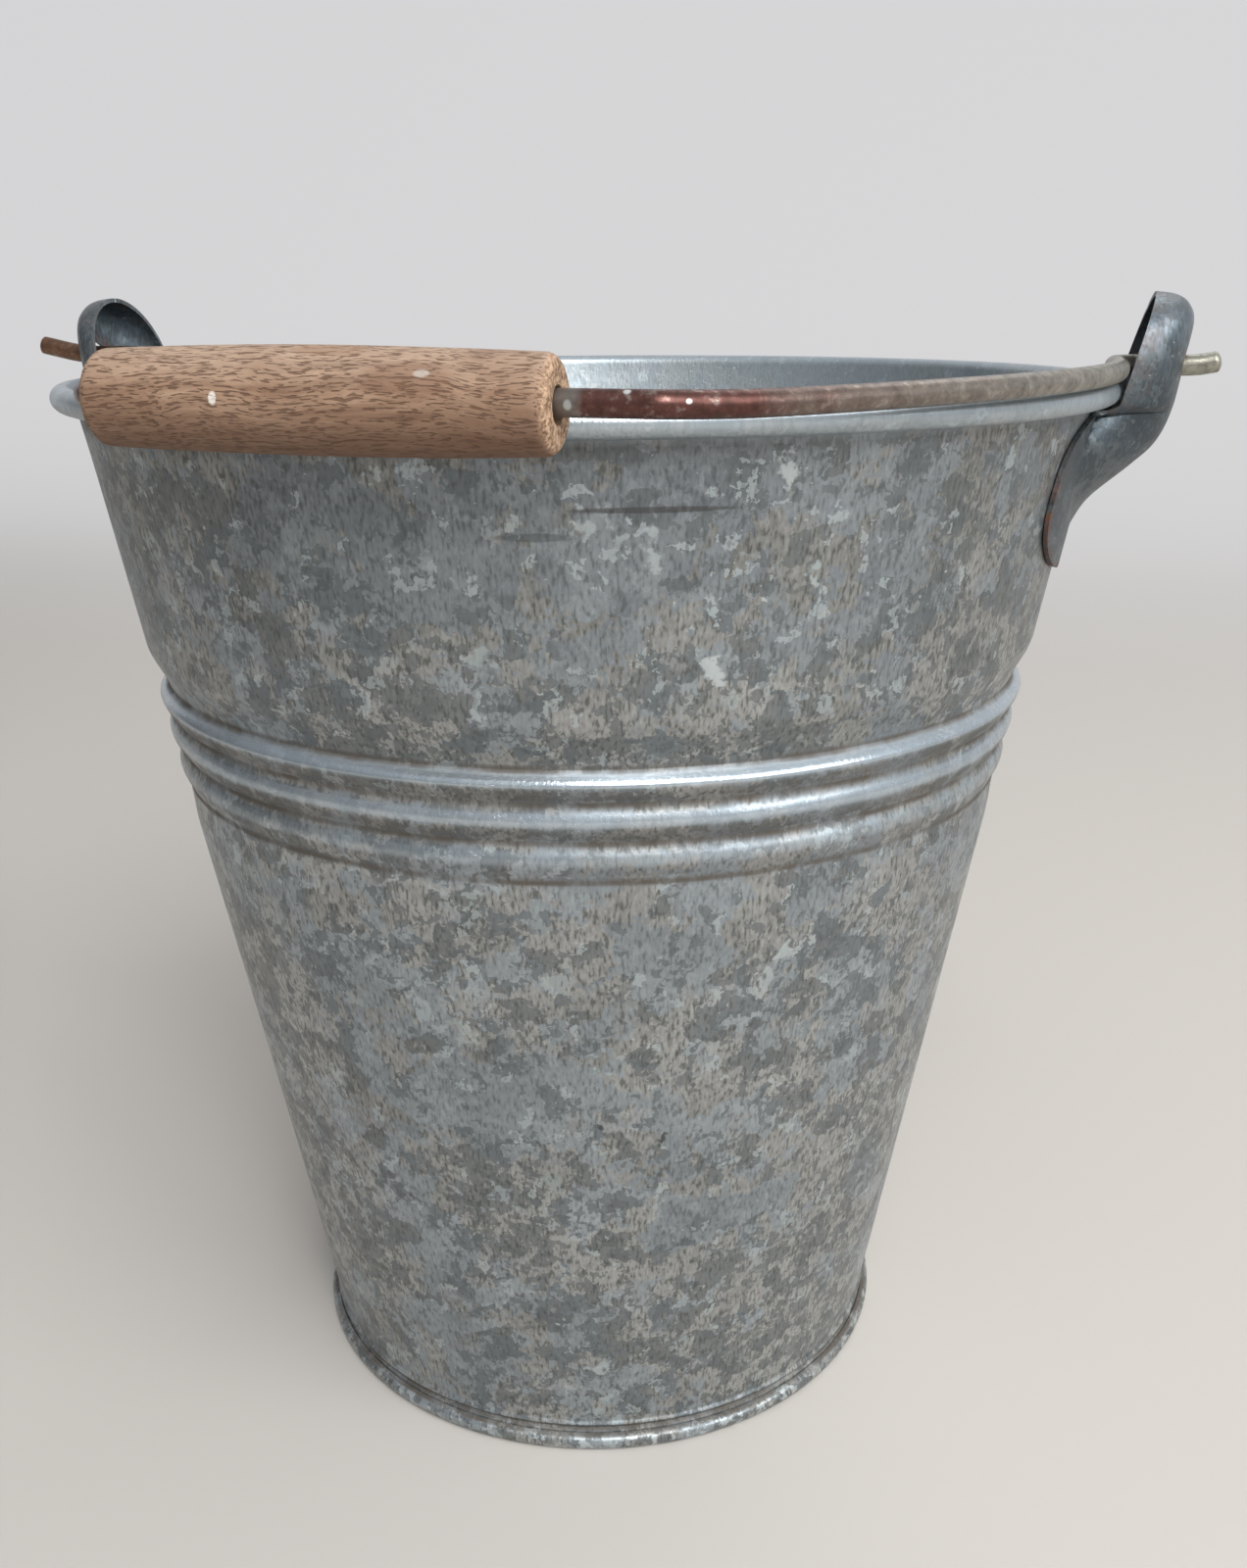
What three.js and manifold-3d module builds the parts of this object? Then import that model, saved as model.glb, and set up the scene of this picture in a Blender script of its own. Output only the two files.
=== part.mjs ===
// Galvanised sheet-steel bucket with a wire bail and a turned wooden grip.
// Millimetres, +Z up. The origin is on the floor at the centre of the foot ring.
// The two ears stand at +X and -X. The bail lies folded down over the front rim, at -Y.

import * as THREE from 'three';
import * as BufferGeometryUtils from 'three/addons/utils/BufferGeometryUtils.js';
import Module from 'manifold-3d';

const wasm = await Module();
wasm.setup();

// Driving sizes of the shell.
const rimDiameter = 300;          // over the curled rim
const height = 306.5;             // floor to the top of the curl
const footDiameter = 179.3;       // outside of the wall where it would meet the ground
const sheet = 0.7;                // galvanised steel sheet
const curlRadius = 3.3;           // outside radius of the curled rim
const curlEnd = -125;             // degrees: where the curl stops short of the wall
const rimWireDiameter = 4.2;      // stiffening wire inside the curl
const seatGap = 0.3;              // between pieces that touch

// Driving sizes of the rolled beads.
const beadCount = 3;
const topBeadHeight = 220;        // of the highest crest above the ground
const beadPitch = 10.3;
const beadCrest = 0.3;            // how far a crest stands out of the straight wall
const topGrooveRise = 3.6;        // from the highest crest up to the groove over it
const topGrooveDepth = 3.0;
const lowGrooveDepth = 1.6;
const tailDepth = 0.8;            // under the lowest crest
const crestPower = 1.5;           // of the cosine between a crest and its grooves: higher is sharper
const swageRun = 12.5;            // from the top groove up to the straight wall
const swageTail = 13;             // from the lowest groove down to the straight wall

// Driving sizes of the foot.
const footRingRadius = 2.8;       // of the folded seam under the wall
const footRingStand = 1.5;        // of the seam's middle past the straight wall
const footLand = 1.6;             // worn flat under the seam
const lipHeight = 8.2;            // of the small lip above the seam
const lipStand = 0.8;
const lipRun = 1.4;
const bottomHeight = 7.5;         // top of the bucket's bottom above the ground
const bottomFillet = 3;
const seamClose = -172;           // degrees: where the seam's inner side meets the skirt

// Driving sizes of the ears.
const earSheet = 1.2;
const earGap = 0.4;               // between the ears and the wall
const archRadius = 20.3;          // round top of the hood, centred just under the hinge
const hoodTop = 21.9;             // above the rim
const hoodStand = 16.4;           // how far the hood's back stands out past the curl
const hoodLean = 0.26;            // outward lean of the hood's open edge
const hoodMouth = 0.8;            // of the open edge's plane outside the curl, at the ear's middle
const earWidth = 89;              // over the wings on the wall
const wingTop = 8.6;              // from the rim down to the upper edge of the wings
const earDrop = 50.2;             // from the rim down to the foot of the wings
const keelDrop = 39.5;            // from the rim down to where the keel meets the wings
const keelWidth = 58;             // across the root of the keel
const keelBroadShare = 0.62;      // of the keel's height at which it is broadest
const upperRound = 3.2;           // powers of the wings' rounded outline, over and under the middle
const lowerRound = 2.2;
const earNose = 5;                // half the least width, at the foot of the wings
const keelFullness = 1.5;         // powers of the bulge across the keel and across the hood
const hoodFullness = 0.5;
const wrapEase = 0.5;             // over which the ear's edge leaves the wall and passes the curl
const holeSlack = 2.1;            // of the wire in its hole, all round
const earTip = 1;                 // half the width left at the very top of the hood
const keelTip = 0.1;              // share of the keel's width left at its foot

// The back of the keel and hood in the ear's middle plane, from the foot up, as shares of how far
// the hood stands out past the keel's foot and of the rise from that foot to the top.
const keelShape = [
  [0, 0], [0.165, 0.122], [0.542, 0.27], [0.758, 0.371], [0.883, 0.513],
  [0.956, 0.731], [1, 0.878], [0.938, 0.951], [0.817, 0.987], [0.634, 1],
];

// Driving sizes of the bail and the grip.
const wireDiameter = 5.5;
const hingeAboveRim = 3.9;
const bailSkew = 0.32;            // degrees: the right end has sunk in its hole
const bailDroop = 0.68;           // degrees that the folded hoop leans below the level
const legClearance = 0.4;         // between each leg and the mouth of its ear
const elbowRadius = 6.5;          // of the bend inside each ear
const stubRight = 7;              // of the wire outside each ear
const stubLeft = 17;
const stubStart = 1;              // from the hood out to where the stub is measured
const stubBend = 1;               // from there on to where it starts to rise
const stubRise = 10;              // degrees
const bowLeft = 1.5;              // how far each leg bows out of its straight line
const bowRight = 18.9;
const bowBack = 31.9;             // how far the right bow's fullest point lies back to its ear
const cornerLeft = 5;             // where each leg turns into the seat
const cornerRight = 8;
const seatLift = 0.45;            // of the seat out of the plane of the legs
const seatShift = 2.0;            // the seat's middle lies towards the right ear
const gripLength = 97.5;
const gripPlay = 21.6;            // free run of the grip along the seat
const gripRest = 1;               // the grip has slid to this far from the left corner
const gripClearance = 1.1;        // between the folded grip and the rim
const gripMiddle = 21.6;
const gripEnd = 19.3;
const gripRound = 2.6;            // of the rounded end edges
const gripBoreSlack = 0.9;        // all round the wire

// How finely the round forms are divided.
const shellSegments = 48;
const gripSegments = 24;
const wireSides = 10;
const wireSteps = 76;
const earColumns = 18;
const earCrowding = 0.85;         // under 1 the columns lie closer together at the ear's edges
const curlSteps = 9;
const rimWireSides = 6;
const seamSteps = 6;
const filletSteps = 4;
const keelSamples = 160;
const weldDistance = 1e-4;
const holeSides = 28;
const wingShares = [0, 0.2, 0.6];
const keelShares = [0, 0.14, 0.3, 0.46, 0.62, 0.8, 0.92, 1];
const wrapShares = [0.5, 1];
const hoodShares = [0.2, 0.42, 0.62, 0.76, 0.87, 0.94, 0.98];
const beadShares = [0, 0.5];      // of the way from a groove to a crest and back
const swageShares = [0, 0.3, 0.7, 1];
const bowShares = [0.08, 0.2, 0.32, 0.44, 0.56, 0.68, 0.8, 0.9];
const elbowNear = 0.08;           // shares of the elbow's radius at which its two points lie
const elbowFar = 0.62;
const roundAngles = [15, 45, 75];
const barrelShares = [-1, -0.66, -0.33, 0, 0.33, 0.66, 1];

const rimOuter = rimDiameter / 2;
const curlRadialCentre = rimOuter - curlRadius;
const curlLevel = height - curlRadius;
const footOuter = footDiameter / 2;
const wallTop = curlRadialCentre - curlRadius + sheet;
const taper = (wallTop - footOuter) / curlLevel;
const wallRadius = (z) => footOuter + taper * z;
const hingeHeight = height + hingeAboveRim;
const { degToRad, smoothstep, lerp } = THREE.MathUtils;

const zinc = new THREE.MeshStandardMaterial({ color: 0x8b9290, roughness: 0.55, metalness: 0.8 });
const darkWire = new THREE.MeshStandardMaterial({ color: 0x6a5a50, roughness: 0.6, metalness: 0.7 });
const beech = new THREE.MeshStandardMaterial({ color: 0x9a7c5c, roughness: 0.75, metalness: 0.0 });

const part = new THREE.Group();

function add(name, geometry, material, parent = part) {
  const mesh = new THREE.Mesh(geometry, material);
  mesh.name = name;
  parent.add(mesh);
  return mesh;
}

// Shared corners merged, slivers dropped and every face turned outward.
function closed(geometry) {
  const plain = geometry.clone();
  for (const name of ['normal', 'uv']) plain.deleteAttribute(name);
  const welded = BufferGeometryUtils.mergeVertices(plain, weldDistance);
  const index = welded.index.array;
  const corner = (i) => new THREE.Vector3().fromBufferAttribute(welded.attributes.position, i);
  const faces = [];
  let volume = 0;
  for (let i = 0; i < index.length; i += 3) {
    const [a, b, c] = index.slice(i, i + 3);
    if (a === b || b === c || c === a) continue;
    volume += corner(a).dot(corner(b).cross(corner(c)));
    faces.push([a, b, c]);
  }
  welded.setIndex(faces.flatMap(([a, b, c]) => (volume < 0 ? [a, c, b] : [a, b, c])));
  return welded;
}

function solidOf(geometry) {
  const welded = closed(geometry);
  return new wasm.Manifold(new wasm.Mesh({
    numProp: 3,
    vertProperties: new Float32Array(welded.attributes.position.array),
    triVerts: new Uint32Array(welded.index.array),
  }));
}

function geometryOf(solid) {
  const mesh = solid.getMesh();
  const geometry = new THREE.BufferGeometry();
  geometry.setAttribute('position', new THREE.BufferAttribute(mesh.vertProperties, 3));
  geometry.setIndex(new THREE.BufferAttribute(mesh.triVerts, 1));
  return geometry;
}

// A closed outline of [radius, height] points turned about the Z axis.
function revolve(outline, segments, onAxis = false) {
  const points = outline.map(([r, z]) => new THREE.Vector2(r, z));
  if (!onAxis) points.push(points[0].clone());
  return closed(new THREE.LatheGeometry(points, segments).rotateX(Math.PI / 2));
}

function arc(centreR, centreZ, radius, fromDegrees, toDegrees, steps) {
  return Array.from({ length: steps + 1 }, (_, i) => {
    const angle = degToRad(lerp(fromDegrees, toDegrees, i / steps));
    return [centreR + radius * Math.cos(angle), centreZ + radius * Math.sin(angle)];
  });
}

// The rolled beads: grooves between crests, swept into the straight wall above and below.
const crests = Array.from({ length: beadCount }, (_, i) => topBeadHeight - i * beadPitch);
const grooves = [topBeadHeight + topGrooveRise, ...crests.map((z) => z - beadPitch / 2)];
const grooveDepth = (i) => (i === 0 ? topGrooveDepth : i === beadCount ? tailDepth : lowGrooveDepth);
const swageTop = grooves[0] + swageRun;
const swageFoot = grooves[beadCount] - swageTail;

function beadOffset(z) {
  if (z >= grooves[0]) return -grooveDepth(0) * smoothstep(swageTop - z, 0, swageRun);
  if (z <= grooves[beadCount]) return -tailDepth * smoothstep(z - swageFoot, 0, swageTail);
  const bead = grooves.findIndex((groove) => groove < z) - 1;
  const side = z > crests[bead] ? bead : bead + 1;
  const share = Math.abs(z - crests[bead]) / Math.abs(grooves[side] - crests[bead]);
  return lerp(-grooveDepth(side), beadCrest, Math.cos(Math.PI / 2 * share) ** crestPower);
}

// Heights at which the wall's outline needs a point, from the foot up.
function wallHeights() {
  const list = beadShares.map((t) => lerp(swageFoot, grooves[beadCount], t));
  for (let bead = beadCount - 1; bead >= 0; bead -= 1) {
    list.push(...beadShares.map((t) => lerp(grooves[bead + 1], crests[bead], t)));
    list.push(...beadShares.map((t) => lerp(crests[bead], grooves[bead], t)));
  }
  list.push(...swageShares.map((t) => lerp(grooves[0], swageTop, t)));
  return [(lipHeight + swageFoot) / 2, ...list, (swageTop + curlLevel) / 2];
}

const seamRadius = footOuter + footRingStand;
const wallEnd = seamRadius + sheet / 2;        // outside of the wall within the seam

// One sheet: its end in the seam, the lip, the taper with its beads, and the curl.
function bodyWall() {
  const outside = [
    [wallEnd, footRingRadius],
    [wallEnd, 2 * footRingRadius],
    [wallRadius(lipHeight), lipHeight - lipRun],
    [wallRadius(lipHeight) + lipStand, lipHeight],
    [wallRadius(lipHeight + lipRun), lipHeight + lipRun],
    ...wallHeights().map((z) => [wallRadius(z) + beadOffset(z), z]),
  ];
  const inside = outside.map(([r, z]) => [r - sheet, z]).reverse();
  const curlInside = arc(curlRadialCentre, curlLevel, curlRadius - sheet, 180, curlEnd, curlSteps);
  const curlOutside = arc(curlRadialCentre, curlLevel, curlRadius, curlEnd, 180, curlSteps);
  return revolve([...outside, ...curlInside, ...curlOutside, ...inside], shellSegments);
}

function rimWire() {
  const lastAngle = 360 - 360 / rimWireSides;
  const section = arc(curlRadialCentre, curlLevel, rimWireDiameter / 2, 0, lastAngle, rimWireSides - 1);
  return revolve(section, shellSegments);
}

// One pressing: the bottom, its skirt inside the wall, and the seam folded up round the wall's end.
function bottomPan() {
  const skirt = wallEnd - sheet - seatGap;
  const slotOutside = wallEnd + seatGap;
  const landAngle = THREE.MathUtils.radToDeg(Math.asin(footLand / 2 / footRingRadius));
  const slotTop = Math.acos((slotOutside - seamRadius) / footRingRadius);
  const filletLevel = bottomHeight - bottomFillet;
  const ring = arc(seamRadius, footRingRadius, footRingRadius,
    THREE.MathUtils.radToDeg(slotTop), -90 + landAngle, seamSteps);
  const innerRing = arc(seamRadius, footRingRadius, footRingRadius,
    -90 - landAngle, seamClose, filletSteps);
  const landLevel = ring[ring.length - 1][1];
  const drop = ([r, z]) => [r, z - landLevel];
  const outline = [
    [0, bottomHeight],
    ...arc(skirt - bottomFillet, filletLevel, bottomFillet, 90, 0, filletSteps),
    [skirt, footRingRadius - seatGap],
    [slotOutside, footRingRadius - seatGap],
    ...ring.map(drop),
    ...innerRing.map(drop),
    [skirt - sheet, filletLevel],
    ...arc(skirt - bottomFillet, filletLevel, bottomFillet - sheet, 0, 90, filletSteps),
    [0, bottomHeight - sheet],
  ];
  return revolve(outline, shellSegments, true);
}

// The ear is a loft of level sections, as one sheet. Down from the top it is a hood, open towards
// the bucket, which passes outside the curl; under the curl it is a keel with a wing on each side.
const hoodTopLevel = height + hoodTop;
const archLevel = hoodTopLevel - archRadius;
const curlFoot = height - 2 * curlRadius;
const wingLevel = height - wingTop;
const wingFoot = height - earDrop;
const keelFoot = height - keelDrop;
const keelBroad = lerp(keelFoot, wingLevel, keelBroadShare);
const hoodBack = rimOuter + hoodStand;

const keelRoot = wallRadius(keelFoot) + earGap + earSheet;
const keelLine = new THREE.SplineCurve(keelShape.map(([out, up]) => new THREE.Vector2(
  lerp(keelRoot, hoodBack, out), lerp(keelFoot, hoodTopLevel, up))));
const keelPoints = keelLine.getPoints(keelSamples);

function keelBack(z) {
  const above = keelPoints.findIndex((p) => p.y >= z);
  if (above <= 0) return keelPoints[above === 0 ? 0 : keelPoints.length - 1].x;
  const [p, q] = [keelPoints[above - 1], keelPoints[above]];
  return lerp(p.x, q.x, (z - p.y) / (q.y - p.y));
}

function hoodHalfWidth(z) {
  const up = Math.max(0, z - archLevel);
  return Math.sqrt(Math.max(archRadius ** 2 - up ** 2, earTip ** 2));
}

function keelHalfWidth(z) {
  if (z >= wingLevel) return hoodHalfWidth(z);
  if (z >= keelBroad) return lerp(keelWidth / 2, archRadius, smoothstep(z, keelBroad, curlFoot));
  const share = (keelBroad - z) / (keelBroad - keelFoot);
  return keelWidth / 2 * Math.sqrt(Math.max(1 - share ** 2, keelTip ** 2));
}

// Half the width of the whole ear: a rounded shield under the curl, the hood above it.
function earHalfWidth(z) {
  if (z > wingLevel) return hoodHalfWidth(z);
  const middle = (wingLevel + wingFoot) / 2;
  const share = Math.abs(z - middle) / ((wingLevel - wingFoot) / 2 + wrapEase);
  const power = z > middle ? upperRound : lowerRound;
  return Math.max(earWidth / 2 * (1 - share ** power) ** (1 / power), earNose);
}

// Radius on which the ear's edges lie at a level: on the wall, or outside the curl.
function earBase(z) {
  const onWall = wallRadius(z) + earGap + earSheet;
  const mouth = rimOuter - hoodMouth + hoodLean * (z - curlLevel) + earGap;
  const outsideCurl = Math.hypot(mouth, hoodHalfWidth(z));
  return lerp(onWall, outsideCurl, smoothstep(z, wingLevel - wrapEase, curlFoot + wrapEase));
}

function earPoint(across, z) {
  const y = across * earHalfWidth(z);
  const base = earBase(z);
  const depth = Math.max(keelBack(z) - base, 0);
  const share = Math.min(Math.abs(y) / keelHalfWidth(z), 1);
  const fullness = lerp(keelFullness, hoodFullness, smoothstep(z, keelBroad, curlFoot));
  const bulge = z < keelFoot ? 0 : depth * (1 - share ** 2) ** fullness;
  return new THREE.Vector3(Math.sqrt(base ** 2 - y ** 2) + bulge, y, z);
}

function earLevels() {
  const wings = wingShares.map((t) => lerp(wingFoot, keelFoot, t));
  const keel = keelShares.map((t) => lerp(keelFoot, wingLevel, t));
  const wrap = wrapShares.map((t) => lerp(wingLevel, curlFoot + wrapEase, t));
  const hood = hoodShares.map((t) => lerp(curlFoot + wrapEase, hoodTopLevel, t));
  return [...wings, ...keel, ...wrap, ...hood];
}

function earSheetGeometry() {
  const levels = earLevels();
  const columns = Array.from({ length: earColumns + 1 }, (_, j) => {
    const t = 2 * j / earColumns - 1;
    return Math.sign(t) * Math.abs(t) ** earCrowding;
  });
  const outer = levels.map((z) => columns.map((t) => earPoint(t, z)));
  const inner = outer.map((row, i) => row.map((p, j) => {
    const along = outer[Math.min(i + 1, levels.length - 1)][j].clone()
      .sub(outer[Math.max(i - 1, 0)][j]);
    const across = row[Math.min(j + 1, earColumns)].clone().sub(row[Math.max(j - 1, 0)]);
    const normal = across.cross(along).normalize();
    return p.clone().addScaledVector(normal, -earSheet);
  }));
  const rows = levels.length;
  const width = earColumns + 1;
  const corners = [...outer.flat(), ...inner.flat()].flatMap((p) => [p.x, p.y, p.z]);
  const at = (side, i, j) => side * rows * width + i * width + j;
  const faces = [];
  const quad = (a, b, c, d) => faces.push(a, b, c, a, c, d);
  for (let i = 0; i < rows - 1; i += 1) {
    for (let j = 0; j < earColumns; j += 1) {
      quad(at(0, i, j), at(0, i, j + 1), at(0, i + 1, j + 1), at(0, i + 1, j));
      quad(at(1, i, j), at(1, i + 1, j), at(1, i + 1, j + 1), at(1, i, j + 1));
    }
    quad(at(0, i, 0), at(0, i + 1, 0), at(1, i + 1, 0), at(1, i, 0));
    quad(at(0, i, earColumns), at(1, i, earColumns), at(1, i + 1, earColumns), at(0, i + 1, earColumns));
  }
  for (let j = 0; j < earColumns; j += 1) {
    quad(at(0, 0, j), at(1, 0, j), at(1, 0, j + 1), at(0, 0, j + 1));
    quad(at(0, rows - 1, j), at(0, rows - 1, j + 1), at(1, rows - 1, j + 1), at(1, rows - 1, j));
  }
  const geometry = new THREE.BufferGeometry();
  geometry.setAttribute('position', new THREE.Float32BufferAttribute(corners, 3));
  geometry.setIndex(faces);
  return geometry;
}

function ear() {
  const holeRadius = wireDiameter / 2 + holeSlack;
  const reach = 2 * hoodStand;
  const punch = new THREE.CylinderGeometry(holeRadius, holeRadius, reach, holeSides)
    .rotateZ(Math.PI / 2);
  punch.translate(hoodBack, 0, hingeHeight);
  return closed(geometryOf(solidOf(earSheetGeometry()).subtract(solidOf(punch))));
}

// The bail's own frame: X along the hinge, -Y out to the grip, Z out of the plane of the legs.
const bailReach = rimOuter + gripMiddle / 2 + gripClearance;
const legX = rimOuter - hoodMouth + hoodLean * (hingeHeight - curlLevel)
  - legClearance - wireDiameter / 2 - (hoodLean * wireDiameter) / 2;
const seatHalf = (gripLength + gripPlay) / 2;
const seatRight = seatShift + seatHalf + cornerRight / 2;
const seatLeft = seatShift - seatHalf - cornerLeft / 2;
const gripShift = seatShift - seatHalf + gripRest + gripLength / 2;

// One leg from its stub outside the ear to the seat, as points of a smooth path.
function legPoints(sign, seatX, bow, back, corner, stub) {
  const leg = new THREE.Vector2(sign * legX, -elbowRadius);
  const turn = new THREE.Vector2(seatX, -bailReach);
  const chord = turn.clone().sub(leg);
  const outward = new THREE.Vector2(-chord.y, chord.x).normalize().multiplyScalar(sign);
  const control = leg.clone().add(turn).multiplyScalar(0.5).addScaledVector(outward, 2 * bow)
    .addScaledVector(chord.clone().normalize(), -back);
  const bowed = new THREE.QuadraticBezierCurve(leg, control, turn);
  const trim = corner / chord.length();
  const hood = sign * (hoodBack + stubStart);
  const rise = degToRad(stubRise);
  const near = elbowRadius * elbowNear;
  const far = elbowRadius * elbowFar;
  const step = (t, z) => {
    const p = bowed.getPoint(t);
    return [p.x, p.y, z];
  };
  return [
    [hood + sign * stub * Math.cos(rise), 0, stub * Math.sin(rise)],
    [hood + sign * stubBend, 0, stubBend * Math.sin(rise)],
    [sign * (legX + elbowRadius + near), 0, 0],
    [sign * (legX + far), -near, 0],
    [sign * (legX + near), -far, 0],
    ...bowShares.map((t) => step(t * (1 - trim), 0)),
    step(1 - trim, seatLift * (1 - elbowFar)),
    ...[elbowFar, 1, 2].map((k) => [seatX - sign * corner * k, -bailReach, seatLift]),
  ].map(([x, y, z]) => new THREE.Vector3(x, y, z));
}

function wireSection() {
  const shape = new THREE.Shape();
  shape.absarc(0, 0, wireDiameter / 2, 0, 2 * Math.PI, false);
  return shape;
}

function bail() {
  const right = legPoints(1, seatRight, bowRight, bowBack, cornerRight, stubRight);
  const left = legPoints(-1, seatLeft, bowLeft, 0, cornerLeft, stubLeft);
  const path = new THREE.CatmullRomCurve3([...right, ...left.reverse()], false, 'centripetal');
  return closed(new THREE.ExtrudeGeometry(wireSection(), {
    extrudePath: path, steps: wireSteps, curveSegments: wireSides / 2, bevelEnabled: false,
  }));
}

// Turned barrel with a bore, along X.
function grip() {
  const half = gripLength / 2;
  const bore = wireDiameter / 2 + gripBoreSlack;
  const swell = (x) => lerp(gripMiddle, gripEnd, (x / half) ** 2) / 2;
  const edge = half - gripRound;
  const round = (side) => roundAngles.map((a) => {
    const angle = degToRad(a);
    return [swell(edge) - gripRound * (1 - Math.cos(angle)), side * (edge + gripRound * Math.sin(angle))];
  });
  const barrel = barrelShares.map((t) => [swell(t * edge), t * edge]);
  const outline = [
    [bore, -half], [swell(edge) - gripRound, -half],
    ...round(-1).reverse(), ...barrel, ...round(1),
    [swell(edge) - gripRound, half], [bore, half],
  ];
  return closed(revolve(outline, gripSegments).rotateY(Math.PI / 2));
}

add('body_wall', bodyWall(), zinc);
add('rim_wire', rimWire(), zinc);
add('bottom_pan', bottomPan(), zinc);
add('ear_right', ear(), zinc);
add('ear_left', ear(), zinc).rotation.z = Math.PI;

// The folded bail, turned about its hinge line and carrying the grip on its seat.
const hoop = new THREE.Group();
hoop.position.z = hingeHeight;
hoop.rotation.set(degToRad(bailDroop), degToRad(bailSkew), 0, 'YXZ');
part.add(hoop);
add('bail', bail(), darkWire, hoop);
const gripDrop = gripBoreSlack / 2;
add('grip', grip(), beech, hoop).position.set(gripShift, -bailReach, seatLift - gripDrop);

export default part;
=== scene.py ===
# %% [markdown]
# # A weathered galvanised bucket
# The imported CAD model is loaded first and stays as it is. It says where everything lies and how the
# bail and the grip turn. The coarse CAD surfaces are then covered by finer ones worked out from the
# same sizes, and each gets the finish that the real one has after years of use.
# %% Load the fixed frame
from functools import partial

import bpy
import numpy as np
from mathutils import Matrix


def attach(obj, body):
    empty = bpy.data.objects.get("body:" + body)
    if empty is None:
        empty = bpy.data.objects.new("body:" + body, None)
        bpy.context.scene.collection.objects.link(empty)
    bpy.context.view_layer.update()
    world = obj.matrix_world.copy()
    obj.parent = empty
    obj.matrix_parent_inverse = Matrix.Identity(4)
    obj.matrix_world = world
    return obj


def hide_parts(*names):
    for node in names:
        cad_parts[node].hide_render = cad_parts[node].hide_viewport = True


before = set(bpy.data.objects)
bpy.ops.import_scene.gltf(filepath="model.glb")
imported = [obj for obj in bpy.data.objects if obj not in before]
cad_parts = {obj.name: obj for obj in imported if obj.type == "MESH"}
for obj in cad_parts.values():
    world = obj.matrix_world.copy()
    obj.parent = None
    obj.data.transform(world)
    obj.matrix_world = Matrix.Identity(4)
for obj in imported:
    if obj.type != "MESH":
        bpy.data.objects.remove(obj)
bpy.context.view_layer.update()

# %% [markdown]
# ## Two helpers for every mesh
# A surface here is a grid of points: rows one way, columns the other. The faces of a grid are always
# joined in the same way, so one function does it for all pieces. The shapes are thought of in
# millimetres, as on a drawing, and turned to metres once, when the mesh is made.
# %% Grid faces and mesh making
MM = 0.001


def grid_faces(rows, columns, wrap_rows=False, wrap_columns=False):
    """Quads between the neighbours of a rows x columns grid. Point (i, j) has the number
    i * columns + j. With wrap, the last row or column is joined to the first."""
    i = np.arange(rows if wrap_rows else rows - 1)[:, None]
    j = np.arange(columns if wrap_columns else columns - 1)[None, :]
    below, right = (i + 1) % rows, (j + 1) % columns
    corners = [i * columns + j, i * columns + right, below * columns + right, below * columns + j]
    return np.stack(np.broadcast_arrays(*corners), -1).reshape(-1, 4)


def enclosed(points, faces):
    """Six times the volume inside the faces: the sum of a . (b x c) over the triangles that fan
    out from each face's first corner. It is negative when the faces point inward."""
    fans = [faces[:, [0, k, k + 1]] for k in range(1, faces.shape[1] - 1)]
    a, b, c = (points[np.concatenate(fans)[:, k]] for k in range(3))
    return np.einsum("ij,ij->i", a, np.cross(b, c)).sum()


def make_piece(name, points_mm, face_sets, crease_degrees=35.0, attributes=None):
    """A mesh object at the origin from points in millimetres and arrays of faces. All faces are
    turned over together when they enclose a negative volume."""
    points = points_mm.reshape(-1, 3)
    if sum(enclosed(points, f) for f in face_sets) < 0:
        face_sets = [f[:, ::-1] for f in face_sets]
    mesh = bpy.data.meshes.new(name)
    faces = [face for f in face_sets for face in f.tolist()]
    mesh.from_pydata((points * MM).tolist(), [], faces)
    for label, values in (attributes or {}).items():
        layer = mesh.attributes.new(label, "FLOAT", "POINT")
        layer.data.foreach_set("value", np.asarray(values, np.float32).ravel())
    mesh.polygons.foreach_set("use_smooth", np.ones(len(faces), bool))
    mesh.set_sharp_from_angle(angle=np.radians(crease_degrees))
    piece = bpy.data.objects.new(name, mesh)
    bpy.context.scene.collection.objects.link(piece)
    print(f"{name}: {len(points)} points, {len(faces)} faces")
    return piece


# %% [markdown]
# ## The sizes
# These are the named sizes of the CAD source, in millimetres. The finer surfaces are worked out from
# them, so they lie on the CAD solids to a fraction of a millimetre.
# %% Sizes of the shell
RIM_OUTER = 150.0
HEIGHT = 306.5
FOOT_OUTER = 179.3 / 2
SHEET = 0.7
CURL_RADIUS = 3.3
CURL_END = -125.0
BEAD_CREST = 0.3
SEAM_RADIUS = 2.8
LIP_HEIGHT = 8.2
LIP_STAND = 0.8
LIP_RUN = 1.4
SEAT_GAP = 0.3
BOTTOM_HEIGHT = 7.5
SEAM_STAND = 1.5
HINGE_RISE = 3.9
BEAD_TOP, BEAD_PITCH, TOP_GROOVE = 220.0, 10.3, 223.6
SWAGE_ABOVE, SWAGE_UNDER = 12.5, 13.0
CREST_POWER = 1.5

CURL_CENTRE = RIM_OUTER - CURL_RADIUS
CURL_LEVEL = HEIGHT - CURL_RADIUS
WALL_TOP = CURL_CENTRE - CURL_RADIUS + SHEET
TAPER = (WALL_TOP - FOOT_OUTER) / CURL_LEVEL
SEAM_CENTRE = FOOT_OUTER + SEAM_STAND
WALL_END = SEAM_CENTRE + SHEET / 2
HINGE_HEIGHT = HEIGHT + HINGE_RISE

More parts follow.
